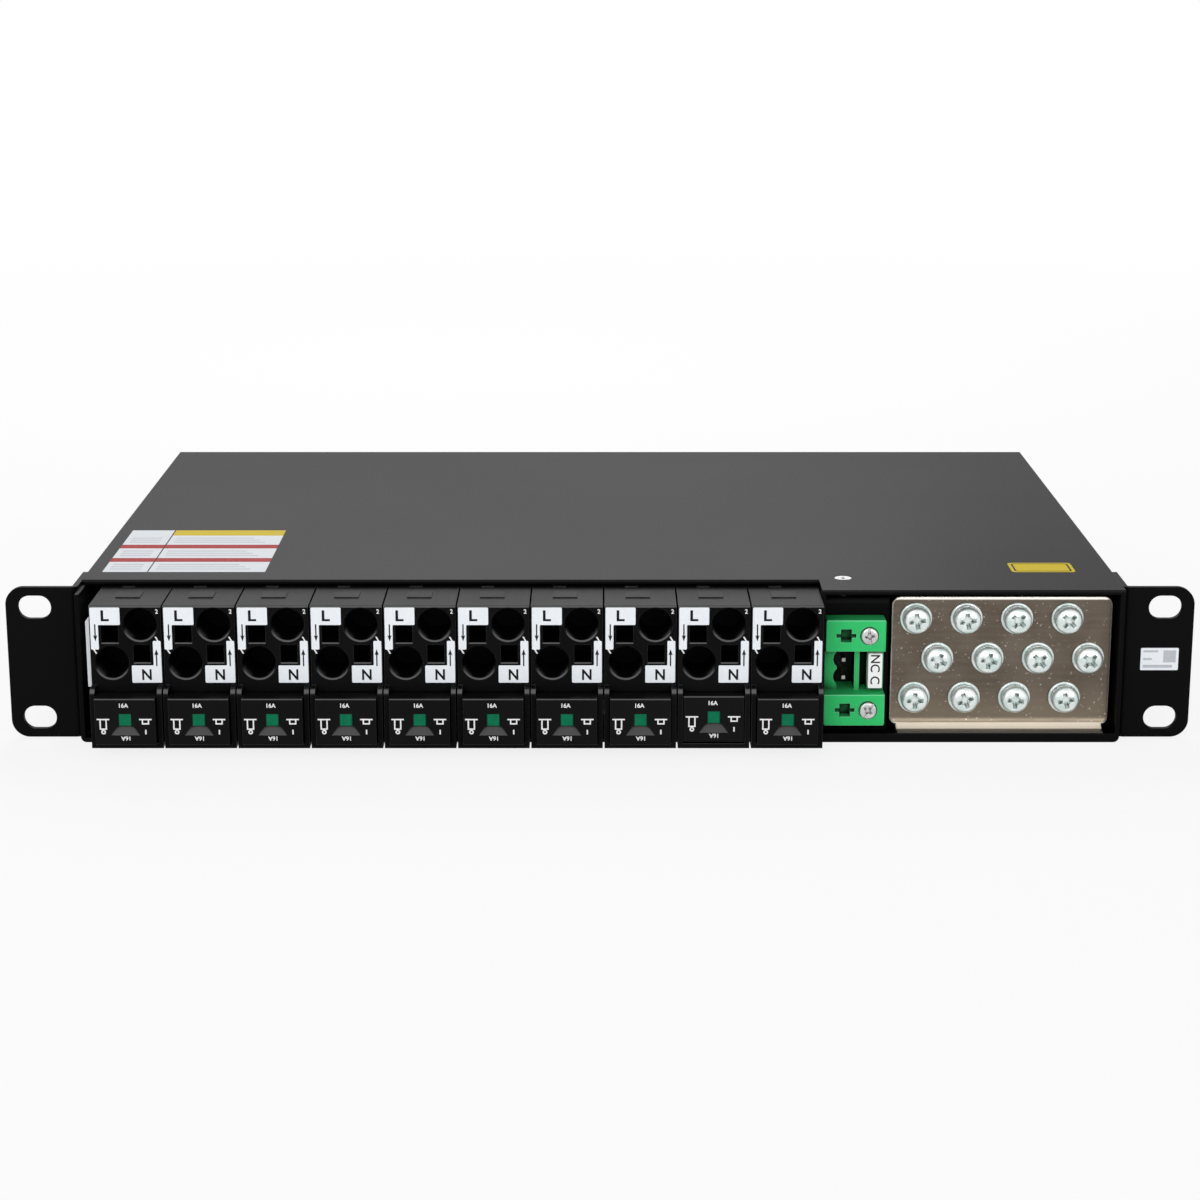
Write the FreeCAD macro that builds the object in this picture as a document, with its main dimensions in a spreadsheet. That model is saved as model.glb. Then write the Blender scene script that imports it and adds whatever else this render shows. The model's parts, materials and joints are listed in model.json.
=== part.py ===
import FreeCAD, Part
import math
import os
import Sketcher
from FreeCAD import Vector

# A rack-mounted power distribution box, in millimetres.
# X runs along the front, Y runs into the box and Z is up.
# The origin lies under the middle of the ears' front faces, on the base plane.

# Driving dimensions
SIZES = {
    # rack ears
    "ear_reach": 20.0,
    "ear_rise": 0.2,
    "ear_sheet": 1.5,
    "ear_bend": 0.6,
    "ear_corner": 5.0,
    "ear_leg": 22.0,
    "ear_slot_inset": 8.0,
    "ear_slot_pitch": 31.75,
    "ear_slot_length": 9.2,
    "ear_slot_width": 6.6,
    "ear_screw_set": 13.0,
    "ear_screw_pitch": 24.0,
    # folded box
    "box_depth": 188.7,
    "box_nose": 4.5,
    "box_sheet": 1.2,
    "box_bend": 1.6,
    "sill_height": 1.2,
    "sill_sheet": 0.8,
    "cover_play": 0.3,
    "cover_flange": 11.0,
    "cover_flange_set": 18.0,
    "cover_edge": 0.7,
    "cover_setback": 7.4,
    "cover_screw_set": 6.9,
    "cover_screw_gap": 0.8,
    "cover_screw_pitch": 200.0,
    # breaker row
    "pole_pitch": 20.0,
    "pole_gap": 0.45,
    "pole_depth": 76.5,
    "pole_reach": 14.5,
    "pole_rise": 1.5,
    "pole_top_gap": 0.6,
    "pole_edge": 0.6,
    "row_set": 4.3,
    "cheek_reach": 4.0,
    "cheek_rise": 2.0,
    "cheek_round": 2.0,
    "pad_left": 4.0,
    "pad_right": 2.8,
    "pad_set": 8.8,
    "pad_depth": 6.2,
    "pad_height": 0.3,
    "rib_left": 4.0,
    "rib_width": 3.4,
    "rib_set": 20.6,
    "rib_depth": 1.2,
    "spacer_sheet": 1.7,
    "spacer_set": 3.5,
    "spacer_drop": 5.2,
    "spacer_height": 18.6,
    "spacer_depth": 70.0,
    # terminals in a breaker's face
    "face_low": 1.9,
    "face_high": 0.8,
    "wire_radius": 4.45,
    "wire_rim": 0.4,
    "wire_depth": 15.0,
    "wire_dx": 4.0,
    "wire_dz": 5.35,
    "release_width": 4.7,
    "release_height": 5.0,
    "release_depth": 12.0,
    "release_dx": 4.3,
    "release_dz": 2.8,
    "release_rim": 0.3,
    # push buttons
    "button_width": 16.4,
    "button_height": 13.2,
    "button_rise": 1.6,
    "button_reach": 6.5,
    "button_length": 13.0,
    "button_travel": 5.0,
    "button_play": 0.3,
    "button_edge": 0.5,
    "button_pressed_set": 2.5,
    "window_size": 3.4,
    "window_rise": 7.2,
    "window_depth": 2.0,
    "window_sink": 0.2,
    "ramp_top": 4.4,
    "ramp_foot": 7.8,
    "ramp_height": 2.6,
    "ramp_depth": 1.2,
    "ramp_toe": 0.1,
    # breaker rail
    "rail_width": 35.0,
    "rail_height": 7.5,
    "rail_sheet": 1.0,
    "rail_web": 25.0,
    "rail_set": 44.5,
    "rail_play": 0.2,
    # bay beside the breakers
    "wall_sheet": 1.0,
    "wall_gap": 0.1,
    "wall_past": 3.5,
    "wall_flange": 14.0,
    "panel_set": 3.0,
    "panel_margin": 1.4,
    "panel_top_gap": 2.8,
    "panel_flange": 5.0,
    "panel_foot": 12.0,
    # signal header
    "header_width": 16.8,
    "header_height": 30.3,
    "header_bottom": 4.4,
    "header_side_gap": 0.2,
    "header_reach": 6.0,
    "header_block": 8.9,
    "header_ledge": 0.4,
    "header_tail_width": 13.0,
    "header_tail_depth": 9.0,
    "header_tail_play": 0.2,
    "header_edge": 0.6,
    "header_brow": 0.4,
    "plug_left": 3.8,
    "plug_width": 4.9,
    "plug_depth": 8.0,
    "key_left": 10.1,
    "key_width": 2.0,
    "key_depth": 5.0,
    "pin_pitch": 5.08,
    "pin_side": 1.0,
    "pin_set": 1.8,
    "pin_bay": 2.8,
    "pin_length": 9.0,
    "latch_x": 5.75,
    "latch_wide": 5.5,
    "latch_thin": 1.1,
    "latch_core": 3.0,
    "latch_tall": 3.8,
    "latch_depth": 3.0,
    "header_screw_x": 12.2,
    "header_screw_radius": 2.4,
    "header_screw_head": 1.4,
    "header_screw_sink": 0.5,
    "header_screw_play": 0.2,
    # earth plate
    "plate_gap": 0.5,
    "plate_top_gap": 2.0,
    "plate_set": 1.0,
    "plate_side_gap": 1.3,
    "plate_sheet": 1.5,
    "plate_bend": 3.0,
    "plate_heel": 1.0,
    "plate_lip": 4.5,
    "plate_notch": 2.8,
    "plate_corner": 2.5,
    "plate_flange": 18.0,
    "plate_flange_inset": 1.8,
    "plate_foot_land": 0.1,
    "earth_pitch_x": 14.0,
    "earth_pitch_z": 11.4,
    "earth_stagger": 6.2,
    "earth_left": 6.6,
    "earth_right": 6.2,
    "earth_top": 6.0,
    "earth_thread": 2.0,
    "earth_thread_play": 0.1,
    "earth_thread_length": 5.6,
    "earth_head_radius": 3.8,
    "earth_head_height": 2.7,
    "earth_head_round": 0.8,
    "washer_radius": 4.5,
    "washer_sheet": 0.9,
    "spring_ring_radius": 3.5,
    "spring_ring_sheet": 0.9,
    "nut_flats": 7.0,
    "nut_height": 3.2,
    # small case screws
    "case_thread": 1.5,
    "case_thread_play": 0.1,
    "case_thread_length": 5.0,
    "case_head_radius": 2.8,
    "case_head_height": 1.8,
    "case_sink": 1.0,
    # supply side
    "bar_sheet": 3.0,
    "bar_height": 11.0,
    "bar_top_gap": 2.8,
    "bar_pitch": 17.0,
    "bar_tail": 58.0,
    "bar_screw_flats": 5.5,
    "bar_screw_head": 2.0,
    "input_width": 52.0,
    "input_depth": 30.0,
    "input_height": 34.0,
    "input_wire_radius": 5.0,
    "input_wire_depth": 14.0,
    "inlet_radius": 11.0,
    "inlet_inner": 8.0,
    "inlet_gap": 1.0,
    "inlet_lip": 2.0,
    "inlet_lip_sheet": 2.5,
}
POLES = 10
PRESSED_POLES = (9,)
POLES_LEFT_OF_INPUT = 3
EARTH_ROWS = 3
EARTH_COLUMNS = 4
SAME_PLACE = 0.01


class Size:
    """A length together with the sheet expression that gives it."""

    def __init__(self, value, text):
        self.value = float(value)
        self.text = text

    def __add__(self, other):
        other = as_size(other)
        return Size(self.value + other.value, "(%s + %s)" % (self.text, other.text))

    def __sub__(self, other):
        other = as_size(other)
        return Size(self.value - other.value, "(%s - %s)" % (self.text, other.text))

    def __mul__(self, other):
        other = as_size(other)
        return Size(self.value * other.value, "(%s * %s)" % (self.text, other.text))

    def __truediv__(self, other):
        other = as_size(other)
        return Size(self.value / other.value, "(%s / %s)" % (self.text, other.text))

    def __radd__(self, other):
        return as_size(other) + self

    def __rsub__(self, other):
        return as_size(other) - self

    def __rmul__(self, other):
        return as_size(other) * self

    def __neg__(self):
        return 0.0 - self


def as_size(number):
    """Give a plain number the form of a size."""
    return number if isinstance(number, Size) else Size(number, repr(float(number)))


class Sheet:
    """The spreadsheet of driving dimensions, read as sizes by their names."""

    def __init__(self, document):
        self.cells = document.addObject("Spreadsheet::Sheet", "Sizes")
        for row, (name, value) in enumerate(SIZES.items(), start=1):
            self.cells.set("A%d" % row, name)
            self.cells.set("B%d" % row, str(value))
            self.cells.setAlias("B%d" % row, name)
        document.recompute()

    def __getattr__(self, name):
        return Size(self.cells.get(name), "Sizes." + name)


doc = FreeCAD.newDocument("PowerDistributionBox")
d = Sheet(doc)
nodes = []

# Places that several pieces share: widths add up from the row of breakers to the earth plate
row_width = d.pole_pitch * POLES
panel_width = d.header_side_gap + d.header_width + d.panel_margin
earth_span = d.earth_pitch_x * (EARTH_COLUMNS - 1) + d.earth_stagger
plate_width = d.earth_left + earth_span + d.earth_right
wall_room = d.wall_gap + d.wall_sheet
row_room = d.row_set + row_width + wall_room
plate_room = d.plate_gap + plate_width + d.plate_side_gap
inside_width = row_room + panel_width + plate_room
wall_inside = inside_width / 2
half_box = wall_inside + d.box_sheet
row_left = d.row_set - wall_inside
row_right = row_left + row_width
pole_width = d.pole_pitch - d.pole_gap
wall_left = row_right + d.wall_gap
wall_right = wall_left + d.wall_sheet
header_left = wall_right + d.header_side_gap
plate_right = wall_inside - d.plate_side_gap
plate_left = plate_right - plate_width
input_mid = row_left + d.pole_pitch * POLES_LEFT_OF_INPUT + d.pole_pitch / 2
cover_screw_x = wall_left + d.cover_screw_set
bay_half = d.button_width / 2 + d.button_play

# Heights add up from the floor through the button and the terminals to the cover
floor_top = d.box_sheet
pole_bottom = floor_top + d.pole_rise
button_bottom = pole_bottom + d.button_rise
button_top = button_bottom + d.button_height
window_mid = button_bottom + d.window_rise
cheek_top = button_top + d.cheek_rise
face_mid = cheek_top + d.face_low + d.wire_radius + d.wire_dz
pole_top = face_mid + d.wire_dz + d.wire_radius + d.face_high
cover_under = pole_top + d.pole_top_gap
box_height = cover_under + d.box_sheet
ear_top = box_height - d.ear_rise
rail_top = floor_top + d.rail_height
panel_top = cover_under - d.panel_top_gap
plate_top = cover_under - d.plate_top_gap
header_top = d.header_bottom + d.header_height
header_mid = d.header_bottom + d.header_height / 2
live_bottom = pole_top - d.bar_top_gap - d.bar_height
neutral_bottom = live_bottom - d.bar_pitch
inlet_lip_radius = d.inlet_radius + d.inlet_lip
inlet_mid = cover_under - d.cover_flange - d.inlet_gap - inlet_lip_radius

# Depths from the buttons in front to the input block behind
pole_front = -d.pole_reach
pole_back = pole_front + d.pole_depth
cheek_front = pole_front - d.cheek_reach
button_front = pole_front - d.button_reach
rail_mid = pole_front + d.rail_set
header_front = d.panel_set - d.header_reach
panel_back = d.panel_set + d.box_sheet
plate_back = d.plate_set + d.plate_sheet
cover_screw_y = d.panel_set + d.panel_flange + d.case_thread + d.cover_screw_gap
input_front = pole_back + d.bar_sheet + d.bar_tail
input_back = input_front + d.input_depth


def bind(thing, path, number):
    """Tie one property of an object to a size."""
    thing.setExpression(path, as_size(number).text)


def new_body(name, x=0.0, y=0.0, z=0.0):
    """Start a body whose place is tied to sizes."""
    body = doc.addObject("PartDesign::Body", name)
    body.Label = name
    for axis, number in zip("xyz", (x, y, z)):
        bind(body, "Placement.Base." + axis, number)
    return body


def sketch_on(body, plane, offset=0.0):
    """Open a sketch on one of the body's own planes, moved along its normal."""
    sketch = body.newObject("Sketcher::SketchObject", "Sketch")
    support = [item for item in body.Origin.OriginFeatures if item.Role == plane][0]
    sketch.AttachmentSupport = (support, [""])
    sketch.MapMode = "FlatFace"
    bind(sketch, "AttachmentOffset.Base.z", offset)
    return sketch


def front_sketch(body, y):
    """A sketch that faces the front at a given Y; its axes are X and Z."""
    return sketch_on(body, "XZ_Plane", -as_size(y))


def plan_sketch(body, z):
    """A sketch in plan at a given Z; its axes are X and Y."""
    return sketch_on(body, "XY_Plane", z)


def side_sketch(body, x):
    """A sketch seen from the side at a given X; its axes are Y and Z."""
    return sketch_on(body, "YZ_Plane", x)


def hold(sketch, kind, element, point, number):
    """Tie one coordinate of a sketch point to a size."""
    number = as_size(number)
    index = sketch.addConstraint(Sketcher.Constraint(kind, -1, 1, element, point, number.value))
    sketch.setExpression("Constraints[%d]" % index, number.text)


def hold_point(sketch, element, point, across, up):
    """Tie both coordinates of a sketch point."""
    hold(sketch, "DistanceX", element, point, across)
    hold(sketch, "DistanceY", element, point, up)


def hold_radius(sketch, element, radius):
    """Tie the radius of a circle or an arc."""
    radius = as_size(radius)
    index = sketch.addConstraint(Sketcher.Constraint("Radius", element, radius.value))
    sketch.setExpression("Constraints[%d]" % index, radius.text)


def spot(across, up):
    """A sketch point from two sizes."""
    return Vector(as_size(across).value, as_size(up).value, 0)


def draw_outline(sketch, corners):
    """Draw a closed outline of straight edges through tied corners."""
    spots = [spot(*corner) for corner in corners]
    sides = []
    for start, end in zip(spots, spots[1:] + spots[:1]):
        sides.append(sketch.addGeometry(Part.LineSegment(start, end), False))
    for side, following in zip(sides, sides[1:] + sides[:1]):
        sketch.addConstraint(Sketcher.Constraint("Coincident", side, 2, following, 1))
    for side, corner in zip(sides, corners):
        hold_point(sketch, side, 1, *corner)
    return sketch


def draw_rectangle(sketch, left, bottom, right, top):
    """Draw a tied rectangle."""
    return draw_outline(sketch, [(left, bottom), (right, bottom), (right, top), (left, top)])


def draw_circle(sketch, across, up, radius):
    """Draw a tied circle."""
    circle = Part.Circle(spot(across, up), Vector(0, 0, 1), as_size(radius).value)
    element = sketch.addGeometry(circle, False)
    hold_point(sketch, element, 3, across, up)
    hold_radius(sketch, element, radius)
    return sketch


def draw_obround(sketch, across, up, length, width):
    """Draw a tied slot with round ends that lies across the sketch."""
    radius = as_size(width / 2)
    reach = as_size((length - width) / 2)
    centres = (across - reach, across + reach)
    left = Part.Circle(spot(centres[0], up), Vector(0, 0, 1), radius.value)
    right = Part.Circle(spot(centres[1], up), Vector(0, 0, 1), radius.value)
    quarter = math.pi / 2
    ends = [
        sketch.addGeometry(Part.ArcOfCircle(left, quarter, 3 * quarter), False),
        sketch.addGeometry(Part.ArcOfCircle(right, -quarter, quarter), False),
    ]
    low = sketch.addGeometry(
        Part.LineSegment(spot(centres[0], up - radius), spot(centres[1], up - radius)), False)
    high = sketch.addGeometry(
        Part.LineSegment(spot(centres[1], up + radius), spot(centres[0], up + radius)), False)
    joins = ((ends[0], 2, low, 1), (low, 2, ends[1], 1), (ends[1], 2, high, 1), (high, 2, ends[0], 1))
    for join in joins:
        sketch.addConstraint(Sketcher.Constraint("Tangent", *join))
    sketch.addConstraint(Sketcher.Constraint("Equal", *ends))
    hold_radius(sketch, ends[0], radius)
    for end, centre in zip(ends, centres):
        hold_point(sketch, end, 3, centre, up)
    return sketch


def pad(body, sketch, length, backward=False):
    """Raise a sketch along its normal, or against it."""
    feature = body.newObject("PartDesign::Pad", "Pad")
    feature.Profile = sketch
    feature.Reversed = backward
    bind(feature, "Length", length)
    return feature


def pocket(body, sketch, depth):
    """Cut a sketch into the body, against the sketch's normal."""
    feature = body.newObject("PartDesign::Pocket", "Pocket")
    feature.Profile = sketch
    bind(feature, "Length", depth)
    return feature


def revolve(body, sketch, axis):
    """Turn a sketch once about one of its own axes."""
    feature = body.newObject("PartDesign::Revolution", "Revolution")
    feature.Profile = sketch
    feature.ReferenceAxis = (sketch, [axis])
    feature.Angle = 360
    return feature


def runs_along(edge, direction):
    """True where a straight edge is parallel to a direction."""
    if edge.Curve.TypeId != "Part::GeomLine":
        return False
    return abs(edge.Curve.Direction.dot(direction)) > 0.999


def edges_at(body, direction, *places):
    """Names of the straight edges along a direction whose middles lie at given places."""
    doc.recompute()
    names = []
    for index, edge in enumerate(body.Tip.Shape.Edges, start=1):
        if not runs_along(edge, direction):
            continue
        middle = edge.CenterOfMass
        for place in places:
            offsets = [abs(getattr(middle, axis) - as_size(place[axis]).value) for axis in place]
            if max(offsets) < SAME_PLACE:
                names.append("Edge%d" % index)
                break
    return names


def round_edges(body, radius, direction, *places):
    """Fillet the edges along a direction that lie at given places."""
    names = edges_at(body, direction, *places)
    base = body.Tip
    feature = body.newObject("PartDesign::Fillet", "Fillet")
    feature.Base = (base, names)
    bind(feature, "Radius", radius)
    return feature


def rims_at(body, radius, axis, place):
    """Names of the round edges of one radius that lie at a place along an axis."""
    doc.recompute()
    names = []
    for index, edge in enumerate(body.Tip.Shape.Edges, start=1):
        if edge.Curve.TypeId != "Part::GeomCircle":
            continue
        if abs(edge.Curve.Radius - as_size(radius).value) > SAME_PLACE:
            continue
        if abs(getattr(edge.CenterOfMass, axis) - as_size(place).value) < SAME_PLACE:
            names.append("Edge%d" % index)
    return names


def bevel(body, names, size):
    """Chamfer the named edges of a body."""
    base = body.Tip
    feature = body.newObject("PartDesign::Chamfer", "Chamfer")
    feature.Base = (base, names)
    bind(feature, "Size", size)
    return feature


def keep(node):
    """List an object as one of the part's nodes."""
    nodes.append(node)
    return node


def keep_group(name, members):
    """Keep several like solids as one node."""
    node = doc.addObject("Part::Compound", name)
    node.Label = name
    node.Links = members
    return keep(node)


X_AXIS = Vector(1, 0, 0)
Y_AXIS = Vector(0, 1, 0)
Z_AXIS = Vector(0, 0, 1)


def turned(name, corners, place, heading):
    """Turn a profile of (radius, height) corners about its own axis and stand it at a place.

    The heading is the rotation that takes the turning axis from +Z to where the piece points.
    """
    body = new_body(name, *place)
    draw_outline(side_sketch(body, 0.0), corners)
    revolve(body, body.Group[-1], "V_Axis")
    body.Placement.Rotation = heading
    return body


TO_FRONT = FreeCAD.Rotation(X_AXIS, 90)
TO_BACK = FreeCAD.Rotation(X_AXIS, -90)
TO_RIGHT = FreeCAD.Rotation(Y_AXIS, 90)
TO_LEFT = FreeCAD.Rotation(Y_AXIS, -90)
UPRIGHT = FreeCAD.Rotation()


def pan_screw_profile():
    """Half section of a small pan-head case screw, seated at height 0."""
    return [
        (0.0, -d.case_thread_length),
        (d.case_thread, -d.case_thread_length),
        (d.case_thread, 0.0),
        (d.case_head_radius, 0.0),
        (d.case_head_radius, d.case_head_height / 2),
        (d.case_head_radius - d.case_head_height / 2, d.case_head_height),
        (0.0, d.case_head_height),
    ]


def sunk_screw_profile():
    """Half section of a countersunk case screw, flush at height 0."""
    play = d.case_thread_play
    return [
        (0.0, -d.case_thread_length),
        (d.case_thread, -d.case_thread_length),
        (d.case_thread, -d.case_sink),
        (d.case_thread + d.case_sink - play, -play),
        (0.0, -play),
    ]


def ear_screw_places():
    """Y and Z of the screws in an ear's leg."""
    middle = box_height / 2
    return [(d.ear_screw_set, middle + side * d.ear_screw_pitch / 2) for side in (-1, 1)]


def cover_back_screw_places():
    """X and Z of the cover's screws in the back wall."""
    height = cover_under - d.cover_flange / 2
    return [(side * d.cover_screw_pitch / 2, height) for side in (-1, 1)]


def build_tray():
    """Floor, side walls and back wall folded from one sheet, with a low sill in front of the bay."""
    body = new_body("chassis_tray")
    draw_rectangle(plan_sketch(body, 0.0), -half_box, -d.box_nose, half_box, d.box_depth)
    pad(body, body.Group[-1], cover_under)
    bottom = {"z": 0.0}
    round_edges(body, d.box_bend, Y_AXIS, dict(bottom, x=-half_box), dict(bottom, x=half_box))
    doc.recompute()
    shape = body.Tip.Shape
    opened = []
    for index, face in enumerate(shape.Faces, start=1):
        middle = face.CenterOfMass
        at_top = abs(middle.z - cover_under.value) < SAME_PLACE
        at_front = abs(middle.y + d.box_nose.value) < SAME_PLACE
        if at_top or at_front:
            opened.append("Face%d" % index)
    shell = body.newObject("PartDesign::Thickness", "Thickness")
    shell.Base = (body.Group[-2], opened)
    shell.Reversed = True
    bind(shell, "Value", d.box_sheet)
    sill = plan_sketch(body, floor_top)
    draw_rectangle(sill, wall_right, -d.box_nose, wall_inside, d.sill_sheet - d.box_nose)
    pad(body, sill, d.sill_height)
    hole_radius = d.case_thread + d.case_thread_play
    through = d.box_sheet * 3
    draw_circle(front_sketch(body, d.box_depth - d.box_sheet * 2), input_mid, inlet_mid, d.inlet_radius)
    pocket(body, body.Group[-1], through)
    back_holes = front_sketch(body, d.box_depth - d.box_sheet * 2)
    for across, up in cover_back_screw_places():
        draw_circle(back_holes, across, up, hole_radius)
    pocket(body, back_holes, through)
    for wall in (half_box + d.box_sheet, d.box_sheet * 2 - half_box):
        side_holes = side_sketch(body, wall)
        for back, up in ear_screw_places():
            draw_circle(side_holes, back, up, hole_radius)
        pocket(body, side_holes, through)
    return keep(body)


def build_cover():
    """Top plate with its front set back over the breakers, and a flange inside the walls."""
    body = new_body("top_cover")
    draw_outline(plan_sketch(body, cover_under), [
        (-half_box, d.cover_setback),
        (wall_left, d.cover_setback),
        (wall_left, -d.box_nose),
        (half_box, -d.box_nose),
        (half_box, d.box_depth),
        (-half_box, d.box_depth),
    ])
    pad(body, body.Group[-1], d.box_sheet)
    outside = wall_inside - d.cover_play
    inside = outside - d.box_sheet
    back_out = d.box_depth - d.box_sheet - d.cover_play
    back_in = back_out - d.box_sheet
    start = d.cover_flange_set
    draw_outline(plan_sketch(body, cover_under - d.cover_flange), [
        (-outside, start),
        (-inside, start),
        (-inside, back_in),
        (inside, back_in),
        (inside, start),
        (outside, start),
        (outside, back_out),
        (-outside, back_out),
    ])
    pad(body, body.Group[-1], d.cover_flange)
    round_edges(
        body, d.cover_edge, X_AXIS,
        {"y": d.cover_setback, "z": box_height},
        {"y": -d.box_nose, "z": box_height},
    )
    hole_radius = d.case_thread + d.case_thread_play
    draw_circle(plan_sketch(body, box_height), cover_screw_x, cover_screw_y, hole_radius)
    pocket(body, body.Group[-1], d.box_sheet * 2)
    bevel(body, rims_at(body, hole_radius, "z", box_height), d.case_sink)
    back_holes = front_sketch(body, back_in - d.box_sheet)
    for across, up in cover_back_screw_places():
        draw_circle(back_holes, across, up, hole_radius)
    pocket(body, back_holes, d.box_sheet * 3)
    return keep(body)


def build_ear(name, side):
    """A folded ear: a leg along the box's side and a slotted flange that faces the front."""
    body = new_body(name)
    inner = side * half_box
    fold = side * (half_box + d.ear_sheet)
    outer = side * (half_box + d.ear_reach)
    draw_outline(plan_sketch(body, d.ear_rise), [
        (inner, 0.0),
        (outer, 0.0),
        (outer, d.ear_sheet),
        (fold, d.ear_sheet),
        (fold, d.ear_leg),
        (inner, d.ear_leg),
    ])
    pad(body, body.Group[-1], ear_top - d.ear_rise)
    round_edges(body, d.ear_bend, Z_AXIS, {"x": fold, "y": d.ear_sheet})
    round_edges(body, d.ear_bend + d.ear_sheet, Z_AXIS, {"x": inner, "y": 0.0})
    round_edges(body, d.ear_corner, Y_AXIS, {"x": outer, "z": ear_top}, {"x": outer, "z": d.ear_rise})
    round_edges(
        body, d.ear_corner, X_AXIS,
        {"y": d.ear_leg, "z": ear_top}, {"y": d.ear_leg, "z": d.ear_rise})
    slots = front_sketch(body, 0.0)
    middle = box_height / 2
    for level in (-1, 1):
        draw_obround(
            slots, outer - side * d.ear_slot_inset, middle + level * d.ear_slot_pitch / 2,
            d.ear_slot_length, d.ear_slot_width)
    pocket(body, slots, d.ear_sheet * 2)
    start = half_box + d.ear_sheet * 2 if side > 0 else d.ear_sheet - half_box
    holes = side_sketch(body, start)
    for back, up in ear_screw_places():
        draw_circle(holes, back, up, d.case_thread + d.case_thread_play)
    pocket(body, holes, d.ear_sheet * 3)
    return keep(body)


def build_case_screws():
    """Screws of the ears and of the cover."""
    members = []
    for side, heading in ((-1, TO_LEFT), (1, TO_RIGHT)):
        for index, (back, up) in enumerate(ear_screw_places()):
            place = (side * (half_box + d.ear_sheet), back, up)
            name = "ear_screw_%s%d" % ("right" if side > 0 else "left", index + 1)
            members.append(turned(name, pan_screw_profile(), place, heading))
    keep_group("ear_screws", members)
    members = [turned(
        "cover_screw_top", sunk_screw_profile(),
        (cover_screw_x, cover_screw_y, box_height), UPRIGHT)]
    for index, (across, up) in enumerate(cover_back_screw_places()):
        place = (across, d.box_depth, up)
        members.append(turned("cover_screw_back%d" % (index + 1), pan_screw_profile(), place, TO_BACK))
    keep_group("cover_screws", members)


def pole_mid(number):
    """X of the middle of a breaker, counted from 1."""
    return row_left + d.pole_pitch * (number - 0.5)


def build_breaker(number):
    """A breaker's moulded housing: terminal face above, button bay between cheeks below."""
    body = new_body("breaker_%02d" % number, x=pole_mid(number))
    notch = d.rail_width / 2 + d.rail_play
    draw_outline(side_sketch(body, -pole_width / 2), [
        (cheek_front, pole_bottom),
        (rail_mid - notch, pole_bottom),
        (rail_mid - notch, rail_top),
        (rail_mid + notch, rail_top),
        (rail_mid + notch, pole_bottom),
        (pole_back, pole_bottom),
        (pole_back, pole_top),
        (pole_front, pole_top),
        (pole_front, cheek_top),
        (cheek_front, cheek_top),
    ])
    pad(body, body.Group[-1], pole_width)
    round_edges(body, d.cheek_round, X_AXIS, {"y": cheek_front, "z": cheek_top})
    round_edges(body, d.pole_edge, X_AXIS, {"y": pole_front, "z": pole_top})
    bay_floor = button_bottom - d.button_play
    mouth = front_sketch(body, cheek_front)
    draw_rectangle(mouth, -bay_half, bay_floor, bay_half, cheek_top + d.cheek_round)
    pocket(body, mouth, d.cheek_reach)
    bay = front_sketch(body, pole_front)
    draw_rectangle(bay, -bay_half, bay_floor, bay_half, button_top + d.button_play)
    button_back = d.button_length - d.button_reach + d.button_travel + d.button_play
    pocket(body, bay, button_back)
    entries = front_sketch(body, pole_front)
    for turn in (-1, 1):
        draw_circle(entries, turn * d.wire_dx, face_mid + turn * d.wire_dz, d.wire_radius)
    pocket(body, entries, d.wire_depth)
    bevel(body, rims_at(body, d.wire_radius, "y", pole_front), d.wire_rim)
    releases = front_sketch(body, pole_front)
    sills = []
    for turn in (-1, 1):
        across = -turn * d.release_dx
        up = face_mid + turn * d.release_dz
        low = up - d.release_height / 2
        draw_rectangle(
            releases, across - d.release_width / 2, low,
            across + d.release_width / 2, up + d.release_height / 2)
        sills.append({"x": across, "y": pole_front, "z": low})
    pocket(body, releases, d.release_depth)
    bevel(body, edges_at(body, X_AXIS, *sills), d.release_rim)
    lid = plan_sketch(body, pole_top)
    pad_front = pole_front + d.pad_set
    draw_rectangle(lid, -d.pad_left, pad_front, d.pad_right, pad_front + d.pad_depth)
    rib_front = pole_front + d.rib_set
    draw_rectangle(lid, -d.rib_left, rib_front, d.rib_width - d.rib_left, rib_front + d.rib_depth)
    pad(body, lid, d.pad_height)
    return keep(body)


def build_button(number):
    """A push button with a seat for its window, and a ramp that widens from the window down."""
    set_in = d.button_pressed_set if number in PRESSED_POLES else 0.0
    body = new_body("button_%02d" % number, x=pole_mid(number), y=set_in)
    half = d.button_width / 2
    draw_rectangle(front_sketch(body, button_front), -half, button_bottom, half, button_top)
    pad(body, body.Group[-1], d.button_length, backward=True)
    round_edges(
        body, d.button_edge, X_AXIS,
        {"y": button_front, "z": button_top}, {"y": button_front, "z": button_bottom})
    seat = d.window_size / 2
    opening = front_sketch(body, button_front)
    draw_rectangle(opening, -seat, window_mid - seat, seat, window_mid + seat)
    pocket(body, opening, d.window_depth)
    sill = window_mid - seat
    ramp_ends = []
    for width, depth, level in (
            (d.ramp_top, d.ramp_depth, sill), (d.ramp_foot, d.ramp_toe, sill - d.ramp_height)):
        end = plan_sketch(body, level)
        draw_rectangle(end, -width / 2, button_front, width / 2, button_front + depth)
        ramp_ends.append(end)
    ramp = body.newObject("PartDesign::SubtractiveLoft", "SubtractiveLoft")
    ramp.Profile = ramp_ends[0]
    ramp.Sections = ramp_ends[1:]
    ramp.Ruled = True
    return keep(body)


def build_window(number):
    """The green indicator window in a button's face."""
    set_in = d.button_pressed_set if number in PRESSED_POLES else 0.0
    body = new_body("window_%02d" % number, x=pole_mid(number), y=set_in)
    half = d.window_size / 2
    back = button_front + d.window_depth
    draw_rectangle(front_sketch(body, back), -half, window_mid - half, half, window_mid + half)
    pad(body, body.Group[-1], d.window_depth - d.window_sink)
    return keep(body)


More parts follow.
